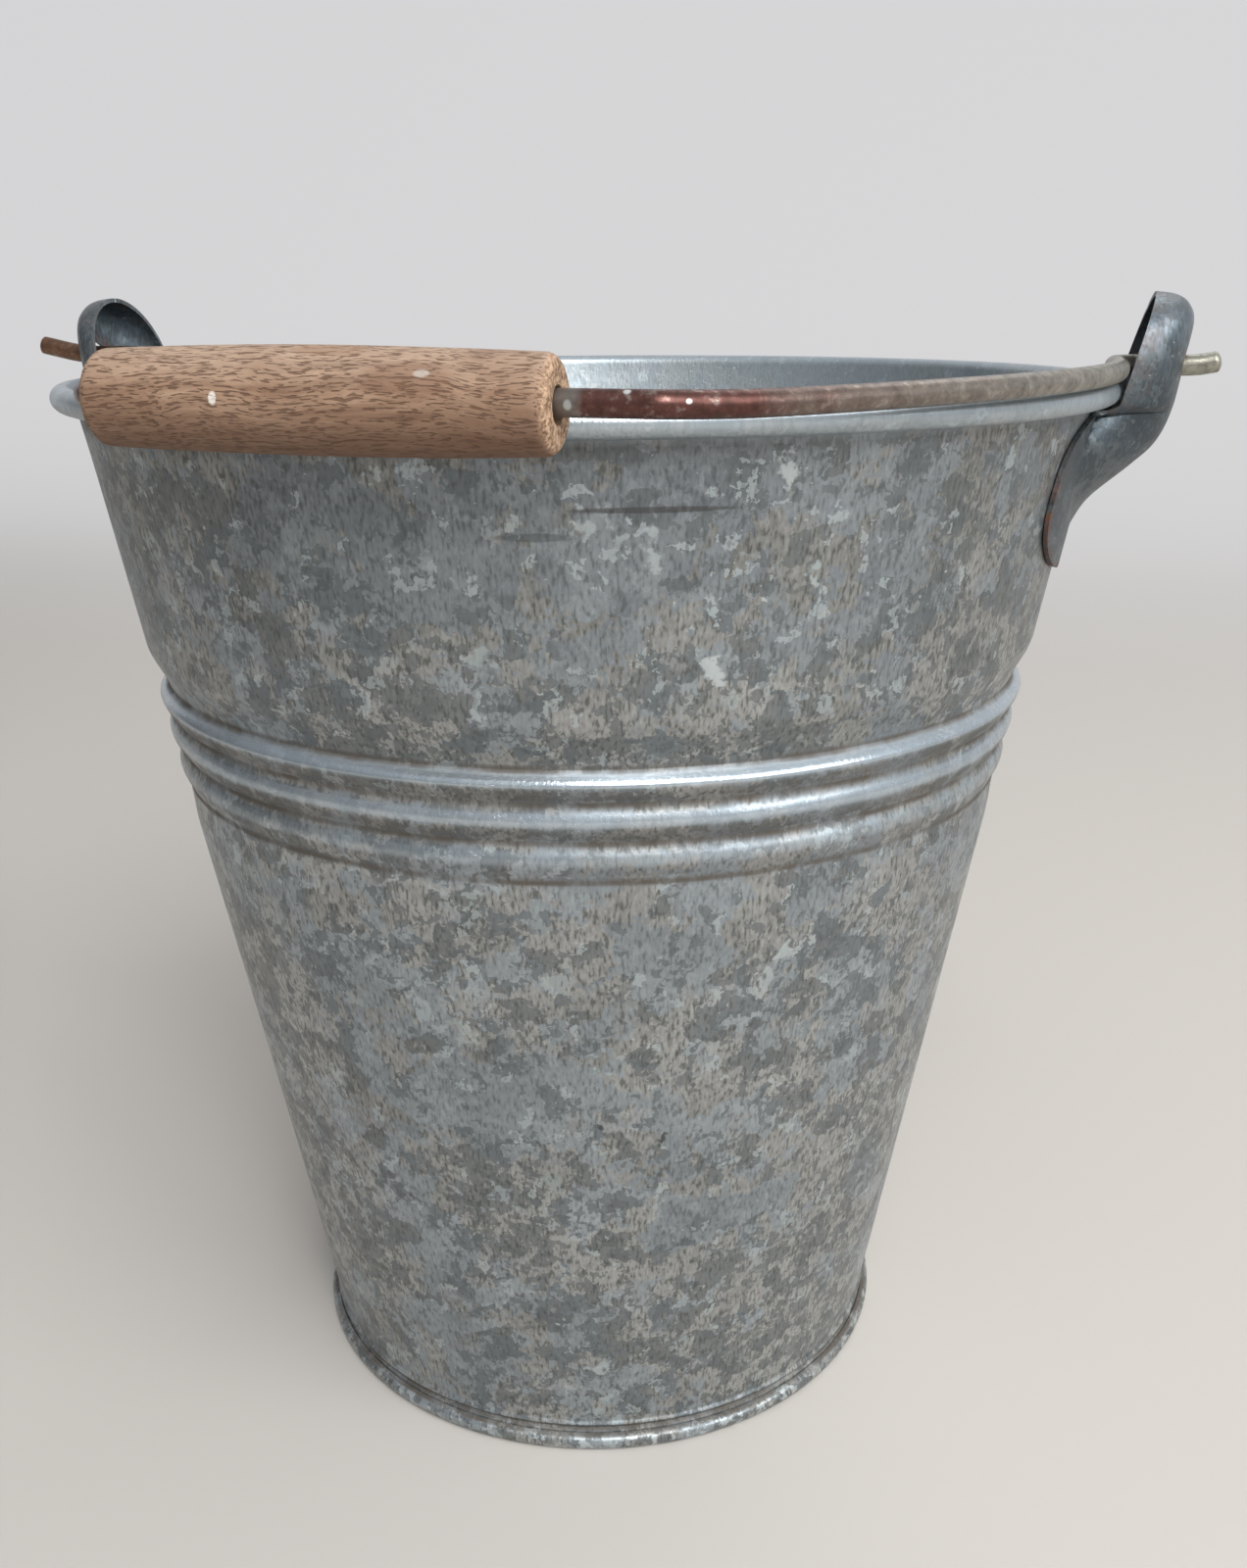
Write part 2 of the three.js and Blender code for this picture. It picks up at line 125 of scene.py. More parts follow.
CRESTS = BEAD_TOP - BEAD_PITCH * np.arange(3)
GROOVES = np.concatenate([[TOP_GROOVE], CRESTS - BEAD_PITCH / 2])
GROOVE_DEPTHS = np.array([3.0, 1.6, 1.6, 0.8])
SWAGE_TOP = GROOVES[0] + SWAGE_ABOVE
SWAGE_FOOT = GROOVES[-1] - SWAGE_UNDER
print(f"the wall tapers {np.degrees(np.arctan(TAPER)):.1f} degrees")


# %% [markdown]
# ## The wall
# The real wall is one sheet, rolled to a cone. Three beads are rolled into it at about two thirds of
# its height. They stiffen the thin sheet. The upper edge is curled outward over a wire and the lower
# edge is folded into the seam of the bottom. The whole wall is one outline turned round the Z axis.
# %% The outline of the wall
def smoothstep(x, low, high):
    """0 below low, 1 above high, and the soft curve t * t * (3 - 2 t) between them."""
    t = np.clip((x - low) / (high - low), 0, 1)
    return t * t * (3 - 2 * t)


def wall_radius(z):
    """Radius of the straight cone's outside at height z."""
    return FOOT_OUTER + TAPER * z


def bead_offset(z):
    """How far the rolled beads stand out of the cone at height z. A crest is the top of a cosine
    to the power CREST_POWER, which leaves a narrow groove between two crests."""
    nearest = np.abs(z[:, None] - CRESTS).argmin(1)
    crest = CRESTS[nearest]
    side = nearest + (z < crest)
    share = np.clip(np.abs(z - crest) / np.abs(GROOVES[side] - crest), 0, 1)
    depth = GROOVE_DEPTHS[side]
    rolled = -depth + (BEAD_CREST + depth) * np.cos(np.pi / 2 * share) ** CREST_POWER
    above = -GROOVE_DEPTHS[0] * smoothstep(SWAGE_TOP - z, 0, SWAGE_TOP - GROOVES[0])
    under = -GROOVE_DEPTHS[-1] * smoothstep(z - SWAGE_FOOT, 0, GROOVES[-1] - SWAGE_FOOT)
    return np.where(z >= GROOVES[0], above, np.where(z <= GROOVES[-1], under, rolled))


def wall_outside(z):
    """Radius of the wall's outside: the cone, its beads, the lip and the end in the seam."""
    lip = LIP_STAND * np.cos(np.pi / 2 * np.clip((z - LIP_HEIGHT) / LIP_RUN, -1, 1)) ** 2
    straight = wall_radius(z) + bead_offset(z) + lip
    in_seam = 1 - smoothstep(z, 2 * SEAM_RADIUS, LIP_HEIGHT - LIP_RUN)
    return straight * (1 - in_seam) + WALL_END * in_seam


def arc(centre_r, centre_z, radius, start, end, steps):
    """Points on a circle in the plane of radius and height, from start to end in degrees."""
    angle = np.radians(np.linspace(start, end, steps + 1))
    return np.stack([centre_r + radius * np.cos(angle), centre_z + radius * np.sin(angle)], 1)


heights = np.concatenate([
    np.linspace(SEAM_RADIUS, 11, 22), np.linspace(16, SWAGE_FOOT, 16)[:-1],
    np.linspace(SWAGE_FOOT, SWAGE_TOP, 80), np.linspace(SWAGE_TOP, CURL_LEVEL, 14)[1:-1]])
outside = np.stack([wall_outside(heights), heights], 1)
inside = (outside - [SHEET, 0])[::-1]
curl_in = arc(CURL_CENTRE, CURL_LEVEL, CURL_RADIUS - SHEET, 180, CURL_END, 20)
curl_out = arc(CURL_CENTRE, CURL_LEVEL, CURL_RADIUS, CURL_END, 180, 26)
wall_outline = np.concatenate([outside, curl_in, curl_out, inside])
print(f"wall outline: {len(wall_outline)} points")


# %% [markdown]
# ## Age in the shape
# No sheet bucket stays a perfect cone. Rolling leaves faint waves, and knocks leave shallow dents.
# Both are far under a millimetre, but a metal shows them at once in its reflections. They are a
# sum of cosines and of round bumps, and fade out near the rim, the seam and the ears.
# %% Waves and dents
WAVE_COUNT, DENT_COUNT = 12, 34
WAVE_SPAN = 50
FADE_FOOT, FADE_RIM, EAR_ZONE = (12, 30), (285, 298), 236
rng = np.random.default_rng(7)
# A wave has its turns round the wall, its slant, its phase and its height, and a dent has its
# angle, its level, its size and its depth. Lengths are in mm and angles in radians.
WAVES = [(rng.integers(2, 13), rng.uniform(0.2, 2.2), rng.uniform(0, 6.28), rng.uniform(0.02, 0.06))
         for _ in range(WAVE_COUNT)]
DENTS = [(rng.uniform(-3.1, 3.1), rng.uniform(40, 285), rng.uniform(7, 22), rng.uniform(-0.4, 0.15))
         for _ in range(DENT_COUNT)]


def aged(points):
    """Points moved out or in along the radius by the waves cos(m angle + n z + phase) and the
    dents exp(-distance^2 / size^2), times a fade that is 0 at the rim, the seam and the ears."""
    x, y, z = points[..., 0], points[..., 1], points[..., 2]
    radius, angle = np.hypot(x, y), np.arctan2(y, x)
    shift = sum(a * np.cos(m * angle + n * z / WAVE_SPAN + phase) for m, n, phase, a in WAVES)
    for at, level, size, depth in DENTS:
        turn = (angle - at + np.pi) % (2 * np.pi) - np.pi
        shift = shift + depth * np.exp(-((turn * radius) ** 2 + (z - level) ** 2) / size**2)
    ears = smoothstep(np.abs(np.sin(angle)), 0.3, 0.5)
    fade = smoothstep(z, *FADE_FOOT) * (1 - smoothstep(z, *FADE_RIM))
    fade = fade * np.where(z > EAR_ZONE, ears, 1)
    share = 1 + shift * fade / np.maximum(radius, 1)
    return np.stack([x * share, y * share, z], -1)


def turned(outline, columns):
    """Each outline point (r, z) at `columns` equal angles a becomes (r cos a, r sin a, z)."""
    angle = np.linspace(0, 2 * np.pi, columns, endpoint=False)
    r, z = outline[:, 0, None], outline[:, 1, None]
    return np.stack([r * np.cos(angle), r * np.sin(angle), z + 0 * angle], -1)


# %% Turn the wall
# How strongly shade is painted on the flank under each of the three crests.
FLANK_SHADE = np.array([0.6, 0.55, 0.3])
# How strongly a highlight is painted on each crest and on the rim, and how far above each crest it
# sits, in mm.
CREST_SHINE, RIM_SHINE = [1.0, 0.85, 0.4], 0.45
SHINE_RISE = 1.5
SEAM_DIRT, RING_DIRT = 6.4, 5.2


def dirt_and_shade_share(z):
    """Where grime gathers and shade is painted on the outside, 0 to 1: grime in the grooves and over
    the seam, painted shade, less of it, on the flank under each crest, and painted shadow under the
    curl."""
    grooves = 1 - smoothstep(np.abs(z[:, None] - GROOVES).min(1), 0.4, 1.6)
    below = CRESTS - z[:, None]
    # Painted shade on the flank under each crest, which faces down, away from the light.
    flanks = (smoothstep(below, 0.2, 1.4) * (1 - smoothstep(below, 3.6, 5.2)) * FLANK_SHADE).max(1)
    foot = 1 - smoothstep(np.abs(z - SEAM_DIRT), 0.2, 1.6)
    # Painted shadow under the curl of the rim.
    curl = smoothstep(z, CURL_LEVEL - 7, CURL_LEVEL - 2)
    return np.maximum.reduce([grooves, flanks, foot, curl])


def rubbed_and_highlight_share(outline):
    """Where hands and stacking have polished the zinc, and where a highlight is painted on it, 0 to
    1: on the crests, a little above their tops, the lowest of them less than the others, and on the
    rim."""
    r, z = outline[:, 0], outline[:, 1]
    crests = 1 - smoothstep(np.abs(z[:, None] - CRESTS - SHINE_RISE), 1.1, 2.3)
    rim = smoothstep(z, CURL_LEVEL - 3, CURL_LEVEL) * (r > CURL_CENTRE - 3)
    return np.maximum((crests * CREST_SHINE).max(1), RIM_SHINE * rim)


WALL_COLUMNS = 300
wall_grid = aged(turned(wall_outline, WALL_COLUMNS))
inner = len(wall_outline) - len(heights)
wall_shares = {
    "dirt_and_shade": np.append(dirt_and_shade_share(heights), np.zeros(inner)),
    "inside": np.append(np.zeros(len(heights)), np.ones(inner)),
    "rubbed_and_highlight": rubbed_and_highlight_share(wall_outline), "crust": 1 - smoothstep(wall_outline[:, 1], 3, 12)}
wall = make_piece(
    "wall", wall_grid, [grid_faces(len(wall_outline), WALL_COLUMNS, True, True)],
    attributes={label: np.repeat(share, WALL_COLUMNS) for label, share in wall_shares.items()})
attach(wall, "bucket")
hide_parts("body_wall")

# %% [markdown]
# ## The bottom
# The bottom is a pressed pan, set into the wall upside down. Its edge goes down inside the wall, and
# comes up again outside it as a rolled seam. That seam is the ring the bucket stands on, and it is
# worn flat underneath. The outline is turned as the wall's is, and closed at the middle.
# %% The outline of the bottom
SKIRT = WALL_END - SHEET - SEAT_GAP
SLOT_OUTSIDE = WALL_END + SEAT_GAP
LAND = 1.6
BOTTOM_FILLET = 3.0
BOTTOM_UNDER = BOTTOM_HEIGHT - SHEET
SEAM_IN_END = -172
POLE_RING = 2
land_angle = np.degrees(np.arcsin(LAND / 2 / SEAM_RADIUS))
slot_top = np.degrees(np.arccos((SLOT_OUTSIDE - SEAM_CENTRE) / SEAM_RADIUS))
seam_out = arc(SEAM_CENTRE, SEAM_RADIUS, SEAM_RADIUS, slot_top, -90 + land_angle, 20)
seam_in = arc(SEAM_CENTRE, SEAM_RADIUS, SEAM_RADIUS, -90 - land_angle, SEAM_IN_END, 12)
drop = np.array([0, seam_out[-1, 1]])
level = BOTTOM_HEIGHT - BOTTOM_FILLET
spokes = np.linspace(POLE_RING, SKIRT - BOTTOM_FILLET, 14)[:-1]
floor_top = np.stack([spokes, 0 * spokes + BOTTOM_HEIGHT], 1)
floor_under = np.stack([spokes, 0 * spokes + BOTTOM_UNDER], 1)[::-1]
pan_outline = np.concatenate([
    floor_top, arc(SKIRT - BOTTOM_FILLET, level, BOTTOM_FILLET, 90, 0, 8),
    [[SKIRT, SEAM_RADIUS - SEAT_GAP], [SLOT_OUTSIDE, SEAM_RADIUS - SEAT_GAP]],
    seam_out - drop, seam_in - drop, [[SKIRT - SHEET, level]],
    arc(SKIRT - BOTTOM_FILLET, level, BOTTOM_FILLET - SHEET, 0, 90, 8)[1:], floor_under])
print(f"bottom outline: {len(pan_outline)} points")


# %% Turn the bottom
def with_poles(outline, columns, top, under):
    """The turned outline, with one more point on the axis at each end and a fan of triangles
    from it, so that the middle is closed."""
    grid = turned(outline, columns).reshape(-1, 3)
    points = np.concatenate([grid, [[0, 0, top], [0, 0, under]]])
    ring = np.arange(columns)
    last = ring + (len(outline) - 1) * columns
    fan_top = np.stack([np.full(columns, len(grid)), np.roll(ring, -1), ring], 1)
    fan_under = np.stack([np.full(columns, len(grid) + 1), last, np.roll(last, -1)], 1)
    return points, [grid_faces(len(outline), columns, False, True), fan_top, fan_under]


PAN_COLUMNS = 288
pan_points, pan_faces = with_poles(pan_outline, PAN_COLUMNS, BOTTOM_HEIGHT, BOTTOM_UNDER)
on_ring = pan_outline[:, 0] > SKIRT
pan_shares = {
    "dirt_and_shade": on_ring * (1 - smoothstep(np.abs(pan_outline[:, 1] - RING_DIRT), 0.1, 1.0)),
    "crust": on_ring, "inside": pan_outline[:, 1] > BOTTOM_HEIGHT - SHEET / 2}
pan_shares = {label: np.append(np.repeat(share * 1.0, PAN_COLUMNS), [share[0], share[-1]])
              for label, share in pan_shares.items()}
pan = make_piece("bottom", pan_points, pan_faces, attributes=pan_shares)
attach(pan, "bucket")
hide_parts("bottom_pan")

# %% [markdown]
# ## The ears
# Each ear is stamped from one sheet: a shield whose wings lie on the wall, a keel that grows out of it
# under the rim, and a hood above the rim with the hole for the bail. A press draws this in one blow,
# so the surface has no corner in it, only the cut edge of the sheet. It is worked out level by level:
# at each height there is a half width, a radius for the edges, and a bulge between them.
# %% Sizes of the ears
EAR_SHEET = 1.2
ARCH_RADIUS = 20.3
HOOD_TOP = HEIGHT + 21.9
HOOD_BACK = RIM_OUTER + 16.4
HOOD_LEAN = 0.26
HOOD_MOUTH = 0.8
EAR_HALF = 89.0 / 2
EAR_NOSE = 5.0
EAR_GAP = 0.4
EAR_CREASE = 40
SHIELD_POWERS = 3.2, 2.2
KEEL_HALF = 58.0 / 2
KEEL_BROAD_SHARE = 0.62
KEEL_FULLNESS = 1.5
WIRE = 5.5
HOLE_SLACK = 2.1
HOLE_RADIUS = WIRE / 2 + HOLE_SLACK
WRAP_EASE = 0.5

ARCH_LEVEL = HOOD_TOP - ARCH_RADIUS
CURL_FOOT = HEIGHT - 2 * CURL_RADIUS
WING_LEVEL = HEIGHT - 8.6
WING_FOOT = HEIGHT - 50.2
KEEL_FOOT = HEIGHT - 39.5
KEEL_BROAD = KEEL_FOOT + KEEL_BROAD_SHARE * (WING_LEVEL - KEEL_FOOT)


def cubics(b, c, u, v, steps):
    """Points on the curves that leave each b with slope u and reach each c with slope v:
    (2b - 2c + u + v) t^3 + (3c - 3b - 2u - v) t^2 + u t + b, and the last c at the end."""
    t = np.linspace(0, 1, steps, endpoint=False)[None, :, None]
    last = c[-1:]
    b, c, u, v = (q[:, None] for q in (b, c, u, v))
    curve = (2 * b - 2 * c + u + v) * t**3 + (3 * c - 3 * b - 2 * u - v) * t**2 + u * t + b
    return np.concatenate([curve.reshape(-1, last.shape[1]), last])


def spline(points, steps):
    """A Catmull-Rom curve through the points: its slope at each point is half the line between
    that point's two neighbours."""
    p = np.concatenate([points[:1], points, points[-1:]])
    a, b, c, d = (p[k:len(p) - 3 + k] for k in range(4))
    return cubics(b, c, (c - a) / 2, (d - b) / 2, steps)


# The back of the keel and hood, as shares of the way out and of the way up from the keel's foot.
KEEL_SHAPE = np.array([
    [0, 0], [0.165, 0.122], [0.542, 0.27], [0.758, 0.371], [0.883, 0.513],
    [0.956, 0.731], [1, 0.878], [0.938, 0.951], [0.817, 0.987], [0.634, 1]])
keel_root = wall_radius(KEEL_FOOT) + EAR_GAP + EAR_SHEET
keel_run = [HOOD_BACK - keel_root, HOOD_TOP - KEEL_FOOT]
KEEL_LINE = spline([keel_root, KEEL_FOOT] + KEEL_SHAPE * keel_run, 20)
print(f"the keel reaches {KEEL_LINE[:, 0].max():.1f} mm from the middle")


# %% The surface of an ear
def hood_half(z):
    """Half the hood's width: straight sides, and a round arch above ARCH_LEVEL."""
    return np.sqrt(np.maximum(ARCH_RADIUS**2 - np.maximum(0, z - ARCH_LEVEL) ** 2, 1))


def keel_half(z):
    """Half the keel's width: an ellipse at its foot, drawn in to the hood's width at the curl."""
    neck = KEEL_HALF + (ARCH_RADIUS - KEEL_HALF) * smoothstep(z, KEEL_BROAD, CURL_FOOT)
    share = (KEEL_BROAD - z) / (KEEL_BROAD - KEEL_FOOT)
    round_foot = KEEL_HALF * np.sqrt(np.maximum(1 - share**2, 0.01))
    return np.where(z >= WING_LEVEL, hood_half(z), np.where(z >= KEEL_BROAD, neck, round_foot))


def ear_half(z):
    """Half the whole ear's width: a rounded shield under the curl, the hood above it."""
    middle = (WING_LEVEL + WING_FOOT) / 2
    share = np.abs(z - middle) / ((WING_LEVEL - WING_FOOT) / 2 + WRAP_EASE)
    power = np.where(z > middle, *SHIELD_POWERS)
    shield = EAR_HALF * np.maximum(1 - share**power, 0) ** (1 / power)
    return np.where(z > WING_LEVEL, hood_half(z), np.maximum(shield, EAR_NOSE))


def ear_base(z):
    """Radius on which the ear's edges lie: on the wall, and above it just outside the curl."""
    on_wall = wall_radius(z) + EAR_GAP + EAR_SHEET
    mouth = RIM_OUTER - HOOD_MOUTH + HOOD_LEAN * (z - CURL_LEVEL) + EAR_GAP
    share = smoothstep(z, WING_LEVEL - WRAP_EASE, CURL_FOOT + WRAP_EASE)
    return on_wall + (np.hypot(mouth, hood_half(z)) - on_wall) * share


def ear_surface(z, across):
    """Point of the ear's outside at height z and share `across` (-1 to 1) of its width. The
    bulge is the keel's depth times (1 - share^2)^fullness over the keel's own width."""
    z, y = z[:, None] + 0 * across, across * ear_half(z)[:, None]
    base = ear_base(z)
    depth = np.maximum(np.interp(z, KEEL_LINE[:, 1], KEEL_LINE[:, 0]) - base, 0)
    share = np.minimum(np.abs(y) / keel_half(z), 1)
    fullness = KEEL_FULLNESS - smoothstep(z, KEEL_BROAD, CURL_FOOT)
    bulge = np.where(z < KEEL_FOOT, 0, depth * np.maximum(1 - share**2, 0) ** fullness)
    return np.stack([np.sqrt(base**2 - y**2) + bulge, y, z], -1)


# %% Build one ear as a sheet with thickness
def half_waves(steps):
    """Shares from 0 to 1 that lie close together at both ends: (1 - cos(pi t)) / 2."""
    return (1 - np.cos(np.pi * np.linspace(0, 1, steps))) / 2


ear_z = np.concatenate([
    WING_FOOT + (WING_LEVEL - WING_FOOT) * half_waves(64),
    np.linspace(WING_LEVEL, CURL_FOOT + WRAP_EASE, 9)[1:],
    np.linspace(CURL_FOOT + WRAP_EASE, ARCH_LEVEL, 9)[1:],
    ARCH_LEVEL + ARCH_RADIUS * np.sin(np.radians(np.linspace(0, 87, 34)[1:]))])
EAR_COLUMNS = 97
EDGE_RUST, HOLE_RUST, RUST_FADE = (0.2, 3.2), (0.2, 4), (18, 32)
across = np.sin(np.linspace(-np.pi / 2, np.pi / 2, EAR_COLUMNS))[None, :]
across = 0.5 * across + 0.5 * np.linspace(-1, 1, EAR_COLUMNS)[None, :]


def sheet_normals(grid):
    """Unit normals of a grid: the cross product of its two directions."""
    along, over = np.gradient(grid, axis=0), np.gradient(grid, axis=1)
    normal = np.cross(over, along)
    return normal / np.maximum(np.linalg.norm(normal, axis=-1, keepdims=True), 1e-9)


def ear_piece(name, turn):
    """One ear: outside, inside a sheet's thickness under it, and the cut edge that joins them.
    Each level is a closed loop, so the loops wrap. turn is 1 for +X and -1 for -X. The edge
    attribute says where rust starts: at the cut edge, less of it higher up, and round the hole."""
    outer = ear_surface(ear_z, across)
    inner = outer - EAR_SHEET * sheet_normals(outer)
    loops = np.concatenate([outer, inner[:, ::-1]], 1)
    rows, columns = loops.shape[:2]
    faces = grid_faces(rows, columns, False, True)
    j = np.arange(EAR_COLUMNS - 1)
    ends = [np.stack([j, j + 1, columns - 2 - j, columns - 1 - j], 1) + r * columns
            for r in (0, rows - 1)]
    ends[0] = ends[0][:, ::-1]
    reach = np.abs(np.concatenate([across, across[:, ::-1]], 1)) * ear_half(ear_z)[:, None]
    side = ear_half(ear_z)[:, None] - reach
    foot = (ear_z - WING_FOOT)[:, None] + 0 * side
    fade = 1 - 0.75 * smoothstep(foot, *RUST_FADE)
    cut_edge = (1 - smoothstep(np.minimum(side, foot), *EDGE_RUST)) * fade
    from_hole = np.hypot(loops[..., 1], loops[..., 2] - HINGE_HEIGHT) - HOLE_RADIUS
    hole_edge = (1 - smoothstep(from_hole, *HOLE_RUST)) * (loops[..., 0] > RIM_OUTER)
    loops = loops * [turn, turn, 1]
    rust = {"edge": np.maximum(cut_edge, hole_edge)}
    return make_piece(name, loops, [faces, *ends], EAR_CREASE, rust)


CUTTER_SIDES, CUTTER_TURN, CUTTER_REACH = 64, 1 / 3, 12


def punched(piece, radius, turn):
    """The ear with a round hole through the hood, cut with a cylinder along X by the Boolean
    modifier, which is applied here. The cylinder is then thrown away. Its corners start a third
    of a step round, so that none of them meets the ear's middle column and leaves a sliver."""
    ring = (np.arange(CUTTER_SIDES) + CUTTER_TURN) * 2 * np.pi / CUTTER_SIDES
    circle = np.stack([0 * ring, radius * np.cos(ring), HINGE_HEIGHT + radius * np.sin(ring)], 1)
    tube = np.stack([circle + [turn * (HOOD_BACK + x), 0, 0] for x in (-CUTTER_REACH, CUTTER_REACH)])
    cap = np.arange(CUTTER_SIDES)[None, :]
    sides = grid_faces(2, CUTTER_SIDES, False, True)
    cutter = make_piece("punch", tube, [sides, cap[:, ::-1], cap + CUTTER_SIDES])
    cut = piece.modifiers.new("hole", "BOOLEAN")
    cut.object, cut.operation, cut.solver = cutter, "DIFFERENCE", "EXACT"
    shaped = bpy.data.meshes.new_from_object(
        piece.evaluated_get(bpy.context.evaluated_depsgraph_get()))
    piece.modifiers.clear()
    piece.data = shaped
    shaped.set_sharp_from_angle(angle=np.radians(EAR_CREASE))
    bpy.data.objects.remove(cutter)
    return piece


ears = []
for ear_name, node_name, turn in (("ear_right_pressing", "ear_right", 1),
                                  ("ear_left_pressing", "ear_left", -1)):
    ear = punched(ear_piece(ear_name, turn), HOLE_RADIUS, turn)
    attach(ear, "bucket")
    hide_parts(node_name)
    ears.append(ear)
    print(ear.name, "after the hole:", len(ear.data.polygons), "faces")

# %% [markdown]
# ## The bail
# The bail is one drawn wire, bent cold: a stub outside each ear, an elbow inside it, a leg that bows
# round the rim, and a straight seat for the grip. A round section is carried along a smooth curve
# through the same points as in the CAD source. The hoop lies folded, a hair out of level.
# %% Sizes of the bail and its own frame
ELBOW = 6.5
BORE_SLACK = 0.9
GRIP_LENGTH = 97.5
GRIP_MIDDLE, GRIP_END, GRIP_ROUND = 21.6 / 2, 19.3 / 2, 2.6
GRIP_PLAY, GRIP_REST = 21.6, 1.0
GRIP_CLEARANCE, LEG_CLEARANCE = 1.1, 0.4
SEAT_SHIFT = 2.0
SEAT_HALF = (GRIP_LENGTH + GRIP_PLAY) / 2
SEAT_LIFT = 0.45
CORNERS = {1: 8.0, -1: 5.0}
SEAT_ENDS = {side: SEAT_SHIFT + side * (SEAT_HALF + CORNERS[side] / 2) for side in (1, -1)}
GRIP_SHIFT = SEAT_SHIFT - SEAT_HALF + GRIP_REST + GRIP_LENGTH / 2
REACH = RIM_OUTER + GRIP_MIDDLE + GRIP_CLEARANCE
LEG_X = (RIM_OUTER - HOOD_MOUTH + HOOD_LEAN * (HINGE_HEIGHT - CURL_LEVEL) - LEG_CLEARANCE
         - WIRE / 2 - HOOD_LEAN * WIRE / 2)
BOWS = {1: 18.9, -1: 1.5}
BOWS_BACK = {1: 31.9, -1: 0.0}
BOW_SHARES = np.array([0.08, 0.2, 0.32, 0.44, 0.56, 0.68, 0.8, 0.9, 1])
STUBS = {1: 7.0, -1: 17.0}
STUB_RISE = np.radians(10)
BEND_NEAR, BEND_FAR = 0.08, 0.62
SKEW, DROOP = np.radians(0.32), np.radians(0.68)
hoop_turn = np.array(Matrix.Rotation(SKEW, 3, "Y") @ Matrix.Rotation(DROOP, 3, "X"))


def in_place(points):
    """Points of the bail's own frame turned by its skew and droop and lifted to the hinge."""
    return points @ hoop_turn.T + [0, 0, HINGE_HEIGHT]


def leg(side):
    """Points of one leg from its stub to the seat: an elbow, then the curve (1 - t)^2 A +
    2 t (1 - t) B + t^2 C that bows outward, and the step up to the seat."""
    start, end = np.array([side * LEG_X, -ELBOW]), np.array([SEAT_ENDS[side], -REACH])
    length = np.hypot(*(end - start))
    ahead = (end - start) / length
    out = side * np.array([-ahead[1], ahead[0]])
    control = (start + end) / 2 + 2 * BOWS[side] * out - BOWS_BACK[side] * ahead
    trim = CORNERS[side] / length
    t = BOW_SHARES[:, None] * (1 - trim)
    bow = (1 - t) ** 2 * start + 2 * t * (1 - t) * control + t**2 * end
    bow = np.column_stack([bow, np.append(0 * BOW_SHARES[1:], SEAT_LIFT * (1 - BEND_FAR))])
    hood = side * (HOOD_BACK + 1)
    near, far = ELBOW * BEND_NEAR, ELBOW * BEND_FAR
    stub = [[hood + side * STUBS[side] * np.cos(STUB_RISE), 0, STUBS[side] * np.sin(STUB_RISE)],
            [hood + side, 0, np.sin(STUB_RISE)], [side * (LEG_X + ELBOW + near), 0, 0],
            [side * (LEG_X + far), -near, 0], [side * (LEG_X + near), -far, 0]]
    seat = [[SEAT_ENDS[side] - side * CORNERS[side] * k, -REACH, SEAT_LIFT]
            for k in (BEND_FAR, 1, 2)]
    return np.concatenate([stub, bow, seat])


# %% Sweep the wire
def centripetal(points, steps):
    """A smooth curve through the points whose pace between two of them is the square root of
    their distance. It makes no loops where points lie close together."""
    p = np.concatenate([2 * points[:1] - points[1:2], points, 2 * points[-1:] - points[-2:-1]])
    a, b, c, d = (p[k:len(p) - 3 + k] for k in range(4))
    ab, bc, cd = (np.sqrt(np.linalg.norm(n - m, axis=1))[:, None]
                  for m, n in ((a, b), (b, c), (c, d)))
    u = ((b - a) / ab - (c - a) / (ab + bc) + (c - b) / bc) * bc
    v = ((c - b) / bc - (d - b) / (bc + cd) + (d - c) / cd) * bc
    return cubics(b, c, u, v, steps)


def swept(path, radius, sides):
    """A round section carried along the path. Its two directions are the cross product of the
    path's direction with Z, and of that with the path. radius has one value for each point."""
    along = np.gradient(path, axis=0)
    along = along / np.linalg.norm(along, axis=1, keepdims=True)
    level = np.cross(along, [0.0, 0.0, 1.0])
    level = level / np.linalg.norm(level, axis=1, keepdims=True)
    up = np.cross(level, along)
    angle = np.linspace(0, 2 * np.pi, sides, endpoint=False)[None, :, None]
    ring = level[:, None] * np.cos(angle) + up[:, None] * np.sin(angle)
    return path[:, None] + ring * radius[:, None, None]


PATH_STEPS, WIRE_SIDES, WIRE_CREASE = 14, 28, 50
END_ROUND, END_SHARE = 1.3, 0.93
wire_path = centripetal(np.concatenate([leg(1), leg(-1)[::-1]]), PATH_STEPS)
length = np.append(0, np.cumsum(np.linalg.norm(np.diff(wire_path, axis=0), axis=1)))
from_end = np.minimum(length, length[-1] - length)
wire_radius = WIRE / 2 * np.sqrt(1 - np.clip(1 - from_end / END_ROUND, 0, END_SHARE) ** 2)
wire_grid = in_place(swept(wire_path, wire_radius, WIRE_SIDES))
rows = len(wire_path)
cap = np.arange(WIRE_SIDES)[None, :]
wire_faces = [grid_faces(rows, WIRE_SIDES, False, True), cap[:, ::-1], cap + (rows - 1) * WIRE_SIDES]
bail = make_piece("bail_wire", wire_grid, wire_faces, WIRE_CREASE)
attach(bail, "bail")
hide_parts("bail")
print(f"the wire is {length[-1]:.0f} mm long")

# %% [markdown]
# ## The grip
# A grip like this is turned from a beech square on a small lathe and drilled through. It is thickest
# in the middle, its ends are rounded over, and it spins loose on the wire. Years of hands and rain
# leave it a little uneven, so the turned radius loses up to a quarter of a millimetre in slow waves.
# %% Turn the grip
GRIP_COLUMNS, GRIP_CREASE = 120, 40
WOBBLE = 0.13
half = GRIP_LENGTH / 2
edge = half - GRIP_ROUND
bore = WIRE / 2 + BORE_SLACK


def barrel(x):
    """Radius of the grip at x: the middle's, less a share (x / half)^2 of the difference."""
    return GRIP_MIDDLE + (GRIP_END - GRIP_MIDDLE) * (x / half) ** 2


